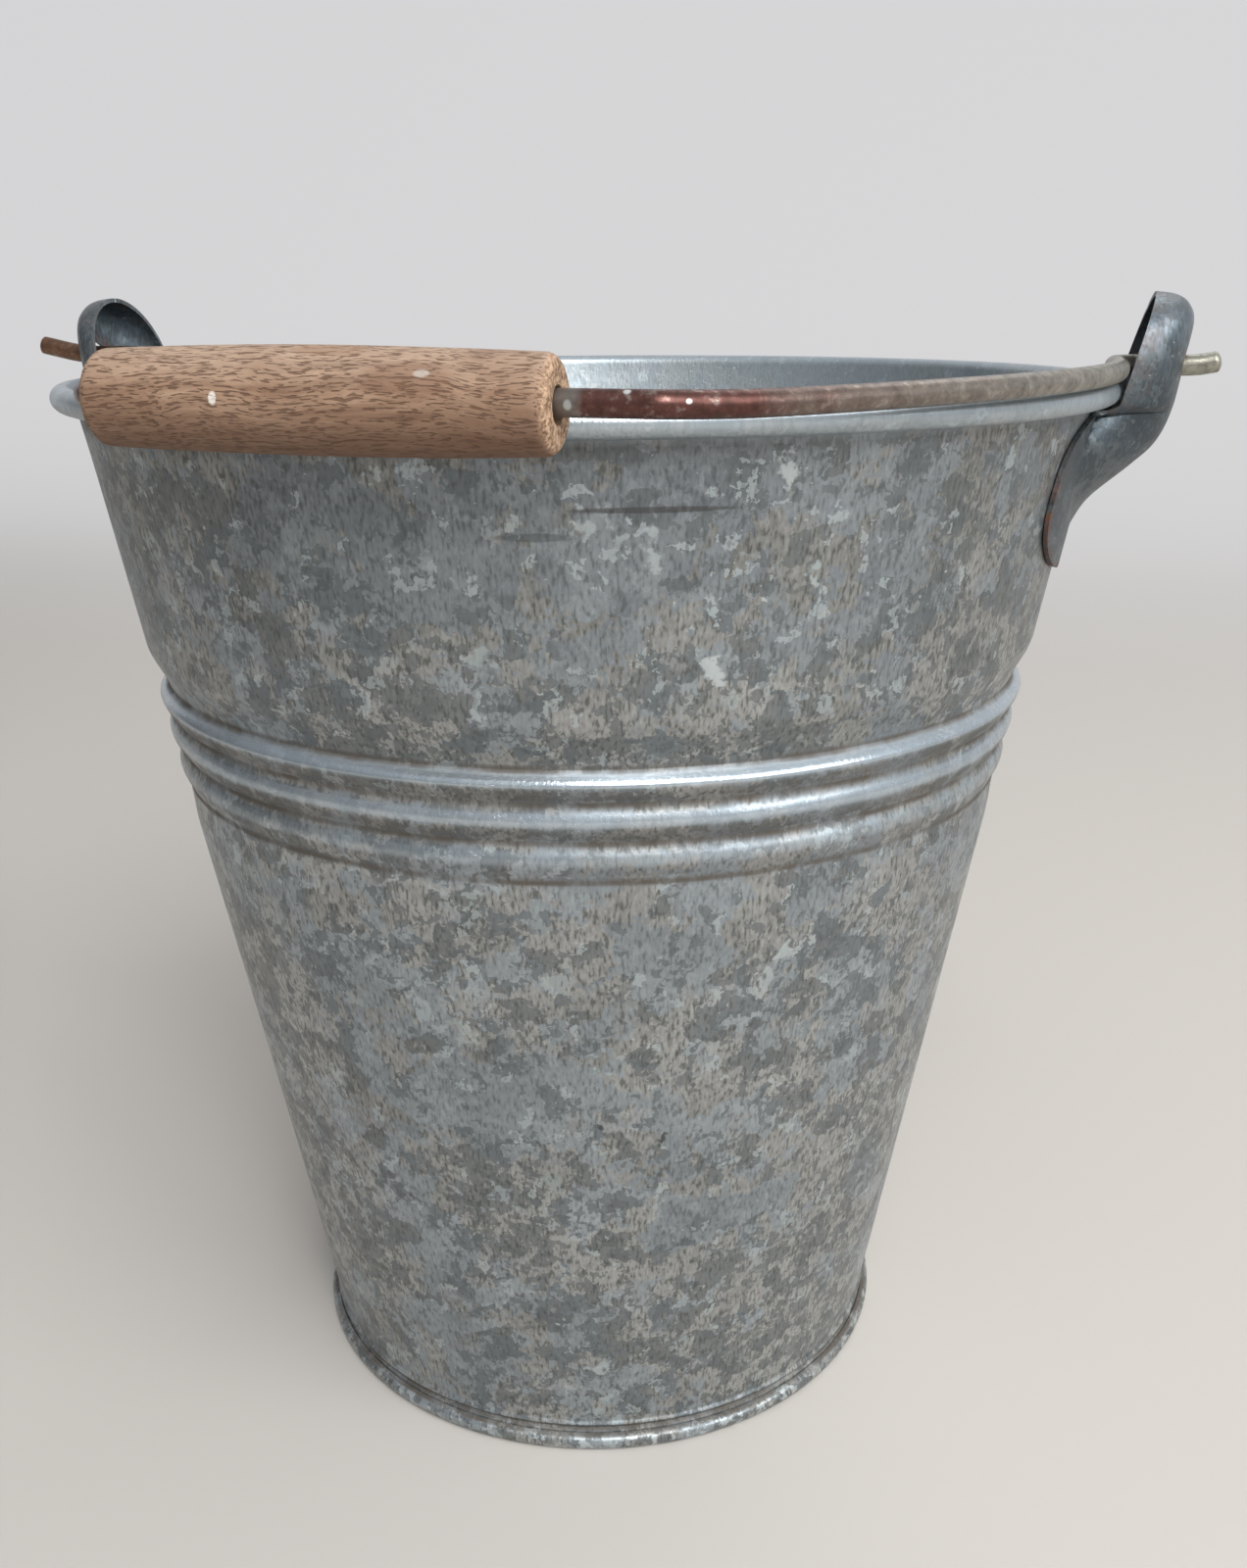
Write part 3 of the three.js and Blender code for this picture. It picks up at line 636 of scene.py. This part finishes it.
end_radius = barrel(edge)
over = np.radians(np.linspace(0, 90, 12))
round_r = end_radius - GRIP_ROUND * (1 - np.cos(over))
round_x = edge + GRIP_ROUND * np.sin(over)
x_out = np.linspace(-edge, edge, 90)[1:-1]
mouth = np.array([[bore + 0.5, half], [bore + 0.15, half - 0.15], [bore, half - 0.5]])
face = np.stack([np.linspace(round_r[-1], mouth[0, 0], 6)[1:-1], np.full(4, half)], 1)
right_end = np.concatenate([np.stack([round_r, round_x], 1), face, mouth])
left_end = (right_end * [1, -1])[::-1]
inner = np.stack([np.full(10, bore), np.linspace(half - 4, -half + 4, 10)], 1)
grip_outline = np.concatenate([left_end, np.stack([barrel(x_out), x_out], 1), right_end, inner])

angle = np.linspace(0, 2 * np.pi, GRIP_COLUMNS, endpoint=False)
r, x = grip_outline[:, 0, None], grip_outline[:, 1, None]
wobble = 0.08 * np.cos(2 * angle + x / 19) + 0.05 * np.cos(3 * angle - x / 11 + 1)
r = r + (wobble - WOBBLE) * smoothstep(r, bore + 2, bore + 5)
grip_grid = np.stack([x + 0 * angle, r * np.cos(angle), r * np.sin(angle)], -1)
grip_grid = in_place(grip_grid + [GRIP_SHIFT, -REACH, SEAT_LIFT - BORE_SLACK / 2])
end_grain = smoothstep(np.abs(grip_outline[:, 1]), half - 1.6, half - 0.2)
grip = make_piece(
    "grip_barrel", grip_grid, [grid_faces(len(grip_outline), GRIP_COLUMNS, True, True)],
    GRIP_CREASE, {"end_grain": np.repeat(end_grain, GRIP_COLUMNS)})
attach(grip, "grip")
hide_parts("grip")

# %% [markdown]
# ## Colours and nodes
# A colour is written as the sRGB hex value that the eye would pick, and one function turns it into
# the linear numbers that a shader needs. One more function adds a node with its settings and links.
# A pattern's scale is 1000 divided by the size of its features in millimetres, because Object
# coordinates are in metres.
# %% Colour and node helpers
def linear(hex_colour):
    """sRGB hex to linear RGBA: c / 12.92 up to 0.04045, else ((c + 0.055) / 1.055) ^ 2.4."""
    c = np.array([int(hex_colour[k:k + 2], 16) for k in (1, 3, 5)]) / 255
    lin = np.where(c <= 0.04045, c / 12.92, ((c + 0.055) / 1.055) ** 2.4)
    return (*lin.tolist(), 1.0)


def wire_up(node, inputs):
    """Sets a node's inputs: a list in their order, or a dictionary by name or number. A socket is
    linked, a node is linked by its first output, and anything else is set as the input's value."""
    for key, value in inputs.items() if isinstance(inputs, dict) else enumerate(inputs):
        if isinstance(value, bpy.types.Node):
            value = value.outputs[0]
        if isinstance(value, bpy.types.NodeSocket):
            node.id_data.links.new(value, node.inputs[key])
        else:
            node.inputs[key].default_value = value


def add_node(tree, kind, inputs=(), stops=(), **settings):
    """Adds one shader node. settings are its own values, inputs go to wire_up, and stops are the
    (position, hex colour) of a ramp. Below, add is this function with its tree filled in."""
    made = tree.nodes.new("ShaderNode" + kind)
    for name, value in settings.items():
        setattr(made, name, value)
    wire_up(made, inputs)
    for k, (position, colour) in enumerate(stops):
        steps = made.color_ramp.elements
        step = steps[k] if k < 2 else steps.new(position)
        step.position, step.color = position, linear(colour)
    return made


def per_mm(millimetres):
    """Texture scale for features of that size."""
    return 1000.0 / millimetres


def new_material(name):
    """A node material with nothing but its Principled shader, and what adds nodes to it."""
    material = bpy.data.materials.new(name)
    material.use_nodes = True
    tree = material.node_tree
    return material, partial(add_node, tree), tree.nodes["Principled BSDF"]


def summed(add, parts):
    """0.5 plus, for each (socket, weight), the socket's distance from 0.5 times the weight. A
    pattern that runs from 0 to 1 then lightens and darkens a tone equally."""
    total = 0.5 - sum(weight for _, weight in parts) / 2
    for socket, weight in parts:
        total = add("Math", [socket, weight, total], operation="MULTIPLY_ADD")
    return total


def overlaid(add, colour, covers):
    """The colour with each (share, tint) laid over it in turn. A share from 0 to 1 says how much
    of the tint shows, and a tint is a hex value or the output of a node."""
    for share, tint in covers:
        tint = linear(tint) if isinstance(tint, str) else tint
        colour = add("Mix", {0: share, 6: colour, 7: tint}, data_type="RGBA").outputs[2]
    return colour


# %% [markdown]
# ## Marks
# A few marks stand where the real ones do. Each is a round spot squeezed to its half sizes, so one
# rule draws a scratch, a dark spot, a bright bare crystal or a speck of paint.
# %% Marks on the wall, the wire and the grip
# Centre and half sizes in mm, colour, and how strongly it covers.
SCRATCHES = [
    ((52.6, -130.8, 285.0), (23, 13, 0.8), "#413f3d", 0.65),
    ((27.0, -136.9, 279.2), (11, 4, 1.1), "#4b4f50", 0.5)]
WALL_MARKS = [
    ((31.3, -106.8, 120.7), (2.0, 2.0, 2.6), "#3c3f3e", 0.75),
    ((47.6, -99.7, 116.0), (2.0, 2.2, 3.6), "#3c3f3e", 0.7),
    ((-24.9, -134.7, 263.7), (6, 3, 6), "#55595a", 0.5),
    ((3.0, -138.7, 273.0), (3, 3, 4), "#9fa9ab", 0.6),
    ((61.9, -119.0, 248.0), (3.4, 3, 3.2), "#c4cccd", 0.75),
    ((51.0, -129.6, 276.6), (3.0, 3, 6), "#b7c0c1", 0.6),
    ((26.9, -91.5, 31.9), (4.6, 3, 4.2), "#bcc5c6", 0.7),
    ((76.4, -92.8, 170.0), (4.0, 3.4, 4.6), "#b9c2c3", 0.7),
    ((1.7, -120.1, 169.7), (2.2, 2.2, 2.6), "#bcc5c6", 0.7),
    ((83.0, -109.5, 265.9), (2.2, 2.4, 6), "#b4bebf", 0.7),
    ((38.5, -134.8, 281.5), (4.4, 3, 3.6), "#b6bfc0", 0.6),
    ((13.0, -134.1, 251.0), (3.6, 3, 3), "#aab3b3", 0.6),
    ((78.2, -118.9, 293.5), (3.0, 3, 3.4), "#c0c8c8", 0.7)]
WIRE_MARKS = [
    ((41.5, -162, 309), (5.5, 6, 6), "#74716b", 0.75),
    ((53.6, -161.5, 312.0), (0.9, 1.0, 1.4), "#d9dbd8", 0.95),
    ((54.6, -163.0, 310.6), (1.1, 1.0, 0.8), "#d9dbd8", 0.95),
    ((70.5, -158.5, 312.4), (0.8, 1.0, 0.9), "#d5d6d2", 0.9),
    ((43.4, -164.0, 308.5), (1.1, 1.3, 1.2), "#b9bcba", 0.8),
    ((66.0, -162.0, 309.2), (0.7, 0.9, 0.6), "#c9cbc8", 0.8)]
GRIP_MARKS = [
    ((-25.6, -172.0, 309.5), (1.0, 2, 1.5), "#d4cdc4", 0.9),
    ((17.0, -170.0, 314.2), (2.0, 2, 0.9), "#d0c8bf", 0.8),
    ((14.0, -170.0, 312.5), (11, 5, 4.5), "#6b4a36", 0.45),
    ((-3.0, -166.0, 318.5), (9, 4, 2), "#8a6a52", 0.4)]
MARK_CORE = 0.7


def add_marks(add, place, colour, marks):
    """The colour with each mark laid over it. Its cover falls from full at MARK_CORE of its size
    to none at its edge."""
    for centre, sizes, tint, cover in marks:
        middle, squeeze = tuple(c * MM for c in centre), tuple(per_mm(size) for size in sizes)
        off = add("VectorMath", [place, middle], operation="SUBTRACT")
        off = add("VectorMath", [off, squeeze], operation="MULTIPLY")
        far = add("VectorMath", [off], operation="LENGTH").outputs["Value"]
        share = add("MapRange", [far, MARK_CORE, 1.0, cover, 0.0])
        colour = overlaid(add, colour, [(share, tint)])
    return colour


# %% [markdown]
# ## Hot-dip zinc
# Sheet dipped in molten zinc freezes in flat crystals, the spangle. Each reflects a little more or
# less than its neighbour, so the surface looks like torn paper in a few greys. Weather then dulls it
# unevenly: some plates stay smooth and blue, others turn warm and show fine upright ridges. Three
# sizes of Voronoi cells with torn edges give the crystals, and noise stretched upright the ridges.
# %% Sizes and tones of the zinc
PLATE, FLAKE, CHIP = 16, 6.0, 3.4  # mm across, the three sizes of crystals
TEAR_REACH = 0.015                 # metres
RIDGE, RIDGE_STRETCH = 0.85, 0.3   # mm across, and the squeeze of its height
# Each noise has a size in mm, a detail and a roughness.
NOISES = {"torn": (5, 3.5, 0.6), "cloud": (55, 3.0, 0.5), "specks": (3.2, 4.0, 0.65),
          "grime": (11, 5.0, 0.5), "pits": (5, 6.0, 0.7)}
RIDGE_TONE = 0.18                  # how far a ridge lightens and a gap darkens
BARE_METAL, DULL_METAL = 0.75, 0.05
RUBBED_ROUGH, DULL_ROUGH = 0.24, 0.85
WARM = [(0.1, "#676765"), (0.9, "#aeafac"), (0.35, "#828380"), (0.55, "#939492"), (0.72, "#a2a3a1")]
COOL = [(0.1, "#64696d"), (0.9, "#b2b9bd"), (0.35, "#7e8488"), (0.55, "#8f969a"), (0.72, "#9ea5a9")]
PRESSED = [(0.1, "#3f474c"), (0.9, "#8d999f"), (0.35, "#545d63"), (0.55, "#667178"), (0.72, "#78848a")]


# %% The zinc material
def zinc_material(name, warm, cool, rust_most, roughness, bright_most, height_shade, scratches, marks):
    """Weathered hot-dip zinc. warm and cool are ramp stops from dark to light for the ridged and
    the smooth crystals. rust_most is how much the edges rust, roughness its least and most, and
    bright_most how far bright crystals stand out. height_shade is two levels in metres and their
    tones: a painted shade that makes one end darker than the other."""
    material, add, shader = new_material(name)
    place = add("TexCoord").outputs["Object"]
    inside, rubbed_and_highlight, crust, dirt_and_shade, edge = (
        add("Attribute", attribute_name=label).outputs["Fac"]
        for label in ("inside", "rubbed_and_highlight", "crust", "dirt_and_shade", "edge"))
    torn, cloud, specks, grime, pits = (
        add("TexNoise", {"Vector": place, "Scale": per_mm(size), "Detail": detail, "Roughness": rough})
        for size, detail, rough in NOISES.values())
    # Torn edges: the place is pushed about by some mm before the crystals are looked up.
    push = add("VectorMath", [torn.outputs["Color"], (0.5, 0.5, 0.5)], operation="SUBTRACT")
    push = add("VectorMath", {0: push, "Scale": TEAR_REACH}, operation="SCALE")
    pushed = add("VectorMath", [place, push])
    cells = [add("TexVoronoi", {"Vector": pushed, "Scale": per_mm(size)}).outputs["Color"]
             for size in (PLATE, FLAKE, CHIP)]
    plate, flake, chip = (add("SeparateColor", [cell]).outputs for cell in cells)
    # Upright ridges, under 1 mm wide and three times as long, strongest on the warm plates.
    upright = add("Mapping", {"Vector": place, "Scale": (1, 1, RIDGE_STRETCH)})
    ridges = add("TexNoise", {"Vector": upright, "Scale": per_mm(RIDGE), "Detail": 1.5})
    warmth = summed(add, [(plate[1], 0.9), (cloud, 1.8), (flake[1], 0.6)])
    warmth = add("MapRange", [warmth, 0.4, 0.52])
    ridged = add("MapRange", {0: warmth, 3: 0.6, 4: 1.0})
    ridge_tone = add("MapRange", [ridges, 0.3, 0.7, -RIDGE_TONE, RIDGE_TONE])
    # Painted shade by height: the wall is painted darker towards its top, the ear towards its foot.
    height_shade_tone = add("MapRange", [add("SeparateXYZ", [place]).outputs["Z"], *height_shade])
    tone = summed(add, [
        *((size[0], 0.13) for size in (plate, flake, chip)), (cloud, 0.4), (height_shade_tone, 1.0)])
    tone = add("Math", [ridge_tone, ridged, tone], operation="MULTIPLY_ADD")
    warm, cool = (add("ValToRGB", [tone], stops=stops) for stops in (warm, cool))
    colour = overlaid(add, cool, [(warmth, warm)])
    # Dark crystals in loose swarms, a few bright ones, and dark gaps between the ridges.
    for crystal, rarity, tint in ((flake, 0.24, "#63696b"), (chip, 0.2, "#666c6e")):
        swarm = summed(add, [(crystal[0], 1.0), (cloud, -1.3)])
        dark = add("MapRange", [swarm, rarity + 0.02, rarity, 0.0, 0.6])
        colour = overlaid(add, colour, [(dark, tint)])
    bright = add("MapRange", [chip[2], 0.94, 0.96, 0.0, bright_most])
    gaps = add("MapRange", [ridges, 0.43, 0.34, 0.0, 0.6])
    gaps = add("Math", [gaps, ridged], operation="MULTIPLY")
    # The inside is painted lighter and bluer, as the light that falls into the bucket leaves it.
    # Crests and the rim are rubbed to a smoother zinc, with a painted highlight that makes them
    # lighter.
    painted_inside_light = add("Math", [inside, 0.4], operation="MULTIPLY")
    # Painted highlight on the crests and the rim.
    painted_highlight = add("Math", [rubbed_and_highlight, 0.65], operation="MULTIPLY")
    colour = overlaid(add, colour, [
        (bright, "#b9c3c5"), (gaps, "#545552"), (painted_inside_light, "#c3ced4"), (painted_highlight, "#bcc8d1")])
    colour = add_marks(add, pushed, colour, marks)
    # Pale bloom: a few specks all over, and a crust on the foot ring.
    specks = add("Math", [crust, 0.14, specks], operation="MULTIPLY_ADD")
    bloom = add("MapRange", [specks, 0.68, 0.74, 0.0, 0.75])
    # Dirt in the hollows, with painted shade on the flank under each crest and under the curl, all
    # broken up by noise, and scratches on the outside that filled with grime.
    grime = add("MapRange", [grime, 0.3, 0.6, 0.35, 0.95])
    dirt_and_shade_cover = add("Math", [dirt_and_shade, grime], operation="MULTIPLY")
    colour = overlaid(add, colour, [(bloom, "#c3cacc"), (dirt_and_shade_cover, "#4d463e")])
    colour = overlaid(add, add_marks(add, place, colour, scratches), [(inside, colour)])
    # Rust where the sheet was cut.
    pits = add("MapRange", [pits, 0.42, 0.6, 0.0, rust_most])
    rust = add("Math", [edge, pits], operation="MULTIPLY")
    colour = overlaid(add, colour, [(rust, "#6b4430")])
    # Dirt, its painted shade and rust are dull and don't shine as metal.
    dull = add("Math", [dirt_and_shade_cover, rust], operation="MAXIMUM")
    rough = add("MapRange", [tone, 0.15, 0.85, roughness[1], roughness[0]])
    rough = add("Mix", {0: rubbed_and_highlight, 2: rough, 3: RUBBED_ROUGH})
    rough = add("Mix", {0: dull, 2: rough, 3: DULL_ROUGH})
    metal = add("Mix", {0: dull, 2: BARE_METAL, 3: DULL_METAL})
    relief = add("Math", [ridges, ridged, flake[0]], operation="MULTIPLY_ADD")
    bump = add("Bump", {"Height": relief, "Strength": 0.4, "Distance": 0.00022})
    wire_up(shader, {"Base Color": colour, "Roughness": rough, "Metallic": metal, "Normal": bump})
    print(f"{name}: {len(material.node_tree.nodes)} nodes")
    return material


hot_dip_zinc = zinc_material(
    "hot_dip_zinc_sheet", WARM, COOL, 0.0, (0.3, 0.48), 0.5, (0.285, 0.2, 0.37, 0.54),
    SCRATCHES, WALL_MARKS)
pressed_zinc = zinc_material(
    "hot_dip_zinc_pressing", PRESSED, PRESSED, 0.95, (0.28, 0.46), 0.1, (0.298, 0.32, 0.11, 0.48),
    [], [])
rim_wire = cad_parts["rim_wire"]
for piece, finish in ((wall, hot_dip_zinc), (pan, hot_dip_zinc), (rim_wire, hot_dip_zinc),
                      (ears[0], pressed_zinc), (ears[1], pressed_zinc)):
    piece.data.materials.clear()
    piece.data.materials.append(finish)

# %% [markdown]
# ## Tarnished wire
# The bail was dipped too, but hands and ears have rubbed it through. Near the grip it is a dark red
# brown of old rust, and it fades to a grey brown towards the right ear. The colour follows X, which
# runs along the hinge, and noise breaks it up. A few specks of white paint have dried on it.
# %% The wire material
WIRE_MOTTLE, WIRE_PATCH = 3, 14   # mm
WIRE_METAL = 0.7
WIRE_FROM, WIRE_TO = -0.16, 0.2   # metres along X, the two ends of the ramp
WIRE_TINTS = [
    (0.02, "#6b4f3e"), (0.97, "#8a887c"), (0.12, "#5c4238"), (0.55, "#5b4038"), (0.6, "#5b3d37"),
    (0.71, "#553630"), (0.775, "#6d6058"), (0.86, "#7b756d")]


def wire_material():
    """Old drawn wire: grey, red-brown and grey-brown along X, worn grey patches and specks."""
    material, add, shader = new_material("tarnished_drawn_wire")
    place = add("TexCoord").outputs["Object"]
    x = add("SeparateXYZ", [place]).outputs["X"]
    mottle = add("TexNoise", {
        "Vector": place, "Scale": per_mm(WIRE_MOTTLE), "Detail": 6.0, "Roughness": 0.7})
    patch = add("TexNoise", {"Vector": place, "Scale": per_mm(WIRE_PATCH), "Detail": 3.0})
    drift = add("Math", [patch, 0.05, x], operation="MULTIPLY_ADD")
    along = add("MapRange", [drift, WIRE_FROM, WIRE_TO])
    base = add("ValToRGB", [along], stops=WIRE_TINTS)
    shade = add("MapRange", [mottle, 0.3, 0.72, 0.5, 1.6])
    base = add("VectorMath", {0: base, "Scale": shade}, operation="SCALE")
    worn = add("MapRange", [mottle, 0.56, 0.68, 0.0, 0.5])
    base = add_marks(add, place, overlaid(add, base, [(worn, "#9b9890")]), WIRE_MARKS)
    rough = add("MapRange", [mottle, 0.3, 0.7, 0.42, 0.24])
    bump = add("Bump", {"Height": mottle, "Strength": 0.4, "Distance": 0.0003})
    wire_up(shader, {"Base Color": base, "Roughness": rough, "Metallic": WIRE_METAL, "Normal": bump})
    return material


bail.data.materials.append(wire_material())

# %% [markdown]
# ## Weathered beech
# Beech shows short dark flecks, all along the grain, on a plain brown ground. The upper side is
# painted lighter and greyer and the underside darker, as light from above leaves them, and the cut
# ends are paler and speckled. The grain runs along X, so the noise is stretched along X: a fleck
# is under half a millimetre wide and about 3 mm long.
# %% The wood material
WANDER, WANDER_REACH = 22, 0.005   # size in mm and reach in metres of the grain's waves
GRAIN, GRAIN_STRETCH = 2.2, 0.07
FLECK, FLECK_STRETCH = 0.42, 0.14
STAIN, END_SPECK = 24, 0.9
TOP_LIGHT_LEVELS, UNDER_SHADE_LEVELS = (0.311, 0.3185), (0.311, 0.3)   # metres
WOOD_TINTS = [(0.3, "#6e5240"), (0.74, "#ab9079"), (0.45, "#866953"), (0.6, "#997c65")]
END_TINTS = [(0.35, "#6d5039"), (0.62, "#bfa083")]


def beech_material():
    """Dry beech: long slow grain, short dark flecks, painted light that greys the top, painted shade
    underneath, and pale end grain.
    """
    material, add, shader = new_material("dry_weathered_beech")
    place = add("TexCoord").outputs["Object"]
    # The grain wanders: each place is shifted a little across before the flecks are looked up.
    wander = add("TexNoise", {"Vector": place, "Scale": per_mm(WANDER), "Detail": 1.0})
    reach = (0.0, WANDER_REACH, WANDER_REACH)
    shift = add("VectorMath", [wander.outputs["Color"], reach], operation="MULTIPLY")
    bent = add("VectorMath", [place, shift])
    long_grain, short_grain = (add("Mapping", {"Vector": bent, "Scale": (stretch, 1, 1)})
                               for stretch in (GRAIN_STRETCH, FLECK_STRETCH))
    grain = add("TexNoise", {
        "Vector": long_grain, "Scale": per_mm(GRAIN), "Detail": 6.0, "Roughness": 0.72})
    fleck = add("TexNoise", {"Vector": short_grain, "Scale": per_mm(FLECK), "Detail": 1.5})
    stain = add("TexNoise", {"Vector": place, "Scale": per_mm(STAIN), "Detail": 4.0})
    z = add("SeparateXYZ", [place]).outputs["Z"]
    # Painted light and shade: the upper half is painted lighter and grey, the lower half darker.
    top = add("MapRange", [z, *TOP_LIGHT_LEVELS, 0.0, 0.6])
    under = add("MapRange", [z, *UNDER_SHADE_LEVELS, 0.0, 0.8])
    stained = add("MapRange", [stain, 0.5, 0.64, 0.0, 0.4])
    dark = add("MapRange", [fleck, 0.545, 0.63, 0.0, 0.8])
    colour = overlaid(add, add("ValToRGB", [grain], stops=WOOD_TINTS), [
        (top, "#ad9682"), (under, "#664a38"), (stained, "#6b4c38"), (dark, "#573c2a")])
    ends = add("Attribute", attribute_name="end_grain").outputs["Fac"]
    speck = add("TexNoise", {"Vector": place, "Scale": per_mm(END_SPECK), "Detail": 3.0})
    cut = add("ValToRGB", [speck], stops=END_TINTS)
    colour = overlaid(add, add_marks(add, place, colour, GRIP_MARKS), [(ends, cut)])
    rough = add("MapRange", [grain, 0.3, 0.7, 0.85, 0.65])
    relief = add("Math", [grain, dark], operation="SUBTRACT")
    bump = add("Bump", {"Height": relief, "Strength": 0.8, "Distance": 0.0003})
    wire_up(shader, {"Base Color": colour, "Roughness": rough, "Normal": bump})
    return material


grip.data.materials.append(beech_material())

# %% [markdown]
# ## Floor and light
# A plain pale floor runs up into a backdrop in one soft bend, so there is no horizon line. A large
# soft lamp stands to the right like a window, a smaller one in front of it gives the beads their
# bright line, and a weak one lights the back. The pale world fills the rest.
# A metal shows what stands around it, so the world is not even: it is lighter above than below.
# %% Floor, lamps and world
FLOOR_FRONT, FLOOR_SIDE, BEND_START, BEND, BACKDROP_TOP = -3000.0, 5000, 1500, 900, 4000.0
WORLD_STRENGTH = 0.82


def backdrop():
    """A floor that bends up behind: straight, a quarter circle, straight, as one swept line."""
    bend = np.radians(np.linspace(-90, 0, 24))
    curve = np.stack([BEND_START + BEND * np.cos(bend), BEND + BEND * np.sin(bend)], 1)
    line = np.concatenate([[[FLOOR_FRONT, 0.0]], curve, [[BEND_START + BEND, BACKDROP_TOP]]])
    x = np.linspace(-FLOOR_SIDE, FLOOR_SIDE, 3)[None, :]
    points = np.stack([x + 0 * line[:, :1], line[:, :1] + 0 * x, line[:, 1:] + 0 * x], -1)
    return make_piece("floor", points, [grid_faces(len(line), 3)[:, ::-1]])


floor = backdrop()
floor_paint, add, shader = new_material("pale_floor")
wire_up(shader, {"Base Color": linear("#bcb7b1"), "Roughness": 0.8})
# Seen by the camera or in a reflection, the backdrop behind is a plain even grey.
ray = add("LightPath").outputs
seen = add("Math", [ray["Is Camera Ray"], ray["Is Glossy Ray"]], operation="MAXIMUM")
far_back = add("SeparateXYZ", [add("NewGeometry").outputs["Position"]]).outputs["Y"]
far_back = add("MapRange", [far_back, 0.5, 2.2, 0.0, 0.9], interpolation_type="SMOOTHSTEP")
seen = add("Math", [seen, far_back], operation="MULTIPLY")
even = add("Emission", {"Color": linear("#d9d9db"), "Strength": 1.0})
paint = add("MixShader", [seen, shader, even])
wire_up(floor_paint.node_tree.nodes["Material Output"], {"Surface": paint})
floor.data.materials.append(floor_paint)


def soft_lamp(name, place, aim, width, height, power):
    """An upright area lamp at place, in metres, turned so that its -Z points at aim."""
    lamp = bpy.data.objects.new(name, bpy.data.lights.new(name, "AREA"))
    lamp.data.shape, lamp.data.size, lamp.data.size_y = "RECTANGLE", width, height
    lamp.data.energy = power
    lamp.location = place
    direction = Matrix.Translation(aim).translation - lamp.location
    lamp.rotation_euler = direction.to_track_quat("-Z", "Y").to_euler()
    bpy.context.scene.collection.objects.link(lamp)


soft_lamp("window", (2.1, -0.9, 1.5), (0, 0, 0.18), 1.6, 1.6, 36)
soft_lamp("lamp", (0.85, -1.7, 1.95), (0, 0, 0.2), 0.8, 1.7, 54)
soft_lamp("back", (0.5, 1.2, 1.9), (0, 0, 0.25), 1.2, 1.2, 7)

world = bpy.data.worlds.new("room")
bpy.context.scene.world = world
world.use_nodes = True
add = partial(add_node, world.node_tree)
aim = add("TexCoord").outputs["Generated"]
aim = add("VectorMath", [aim, (0.62, -0.3, 0.72)], operation="DOT_PRODUCT")
aim = add("MapRange", [aim.outputs["Value"], -0.8, 0.9])
sky = add("ValToRGB", [aim], stops=[(0.0, "#38393b"), (1.0, "#f2f6fa"), (0.5, "#a8abaf")])
# The camera itself sees past the backdrop's ends an even pale grey.
direct = add("LightPath").outputs["Is Camera Ray"]
sky = overlaid(add, sky, [(direct, "#dededf")])
wire_up(world.node_tree.nodes["Background"], {"Color": sky, "Strength": WORLD_STRENGTH})

# %% [markdown]
# ## The camera
# It stands where the photographer stood: about half a metre in front of the bucket, at the height of
# its rim, turned a little to the right ear, and looks down by 18 degrees. The numbers come from a fit
# of the rim, the wall and the foot in the picture.
# %% Camera
STAND = np.array([0.1273, -0.4383, 0.3271])
AROUND, YAW, PITCH, ROLL = np.radians(16.2), 0.0203, 0.3136, -0.00635
spin = np.array([
    [np.cos(AROUND), -np.sin(AROUND), 0], [np.sin(AROUND), np.cos(AROUND), 0], [0, 0, 1]])
forward = spin @ [np.sin(YAW) * np.cos(PITCH), np.cos(YAW) * np.cos(PITCH), -np.sin(PITCH)]
level_right = spin @ [np.cos(YAW), -np.sin(YAW), 0]
down = np.cross(forward, level_right)
right = np.cos(ROLL) * level_right - np.sin(ROLL) * down
down = np.sin(ROLL) * level_right + np.cos(ROLL) * down

camera = bpy.data.objects.new("camera", bpy.data.cameras.new("camera"))
camera.data.lens, camera.data.sensor_width, camera.data.sensor_fit = 34.304, 36.0, "AUTO"
camera.data.clip_start, camera.data.clip_end = 0.01, 100
place = np.eye(4)
place[:3, :3] = np.stack([right, -down, -forward], 1)
place[:3, 3] = STAND
camera.matrix_world = Matrix(place.tolist())
bpy.context.scene.collection.objects.link(camera)
bpy.context.scene.camera = camera
bpy.context.scene.view_settings.view_transform = "Standard"
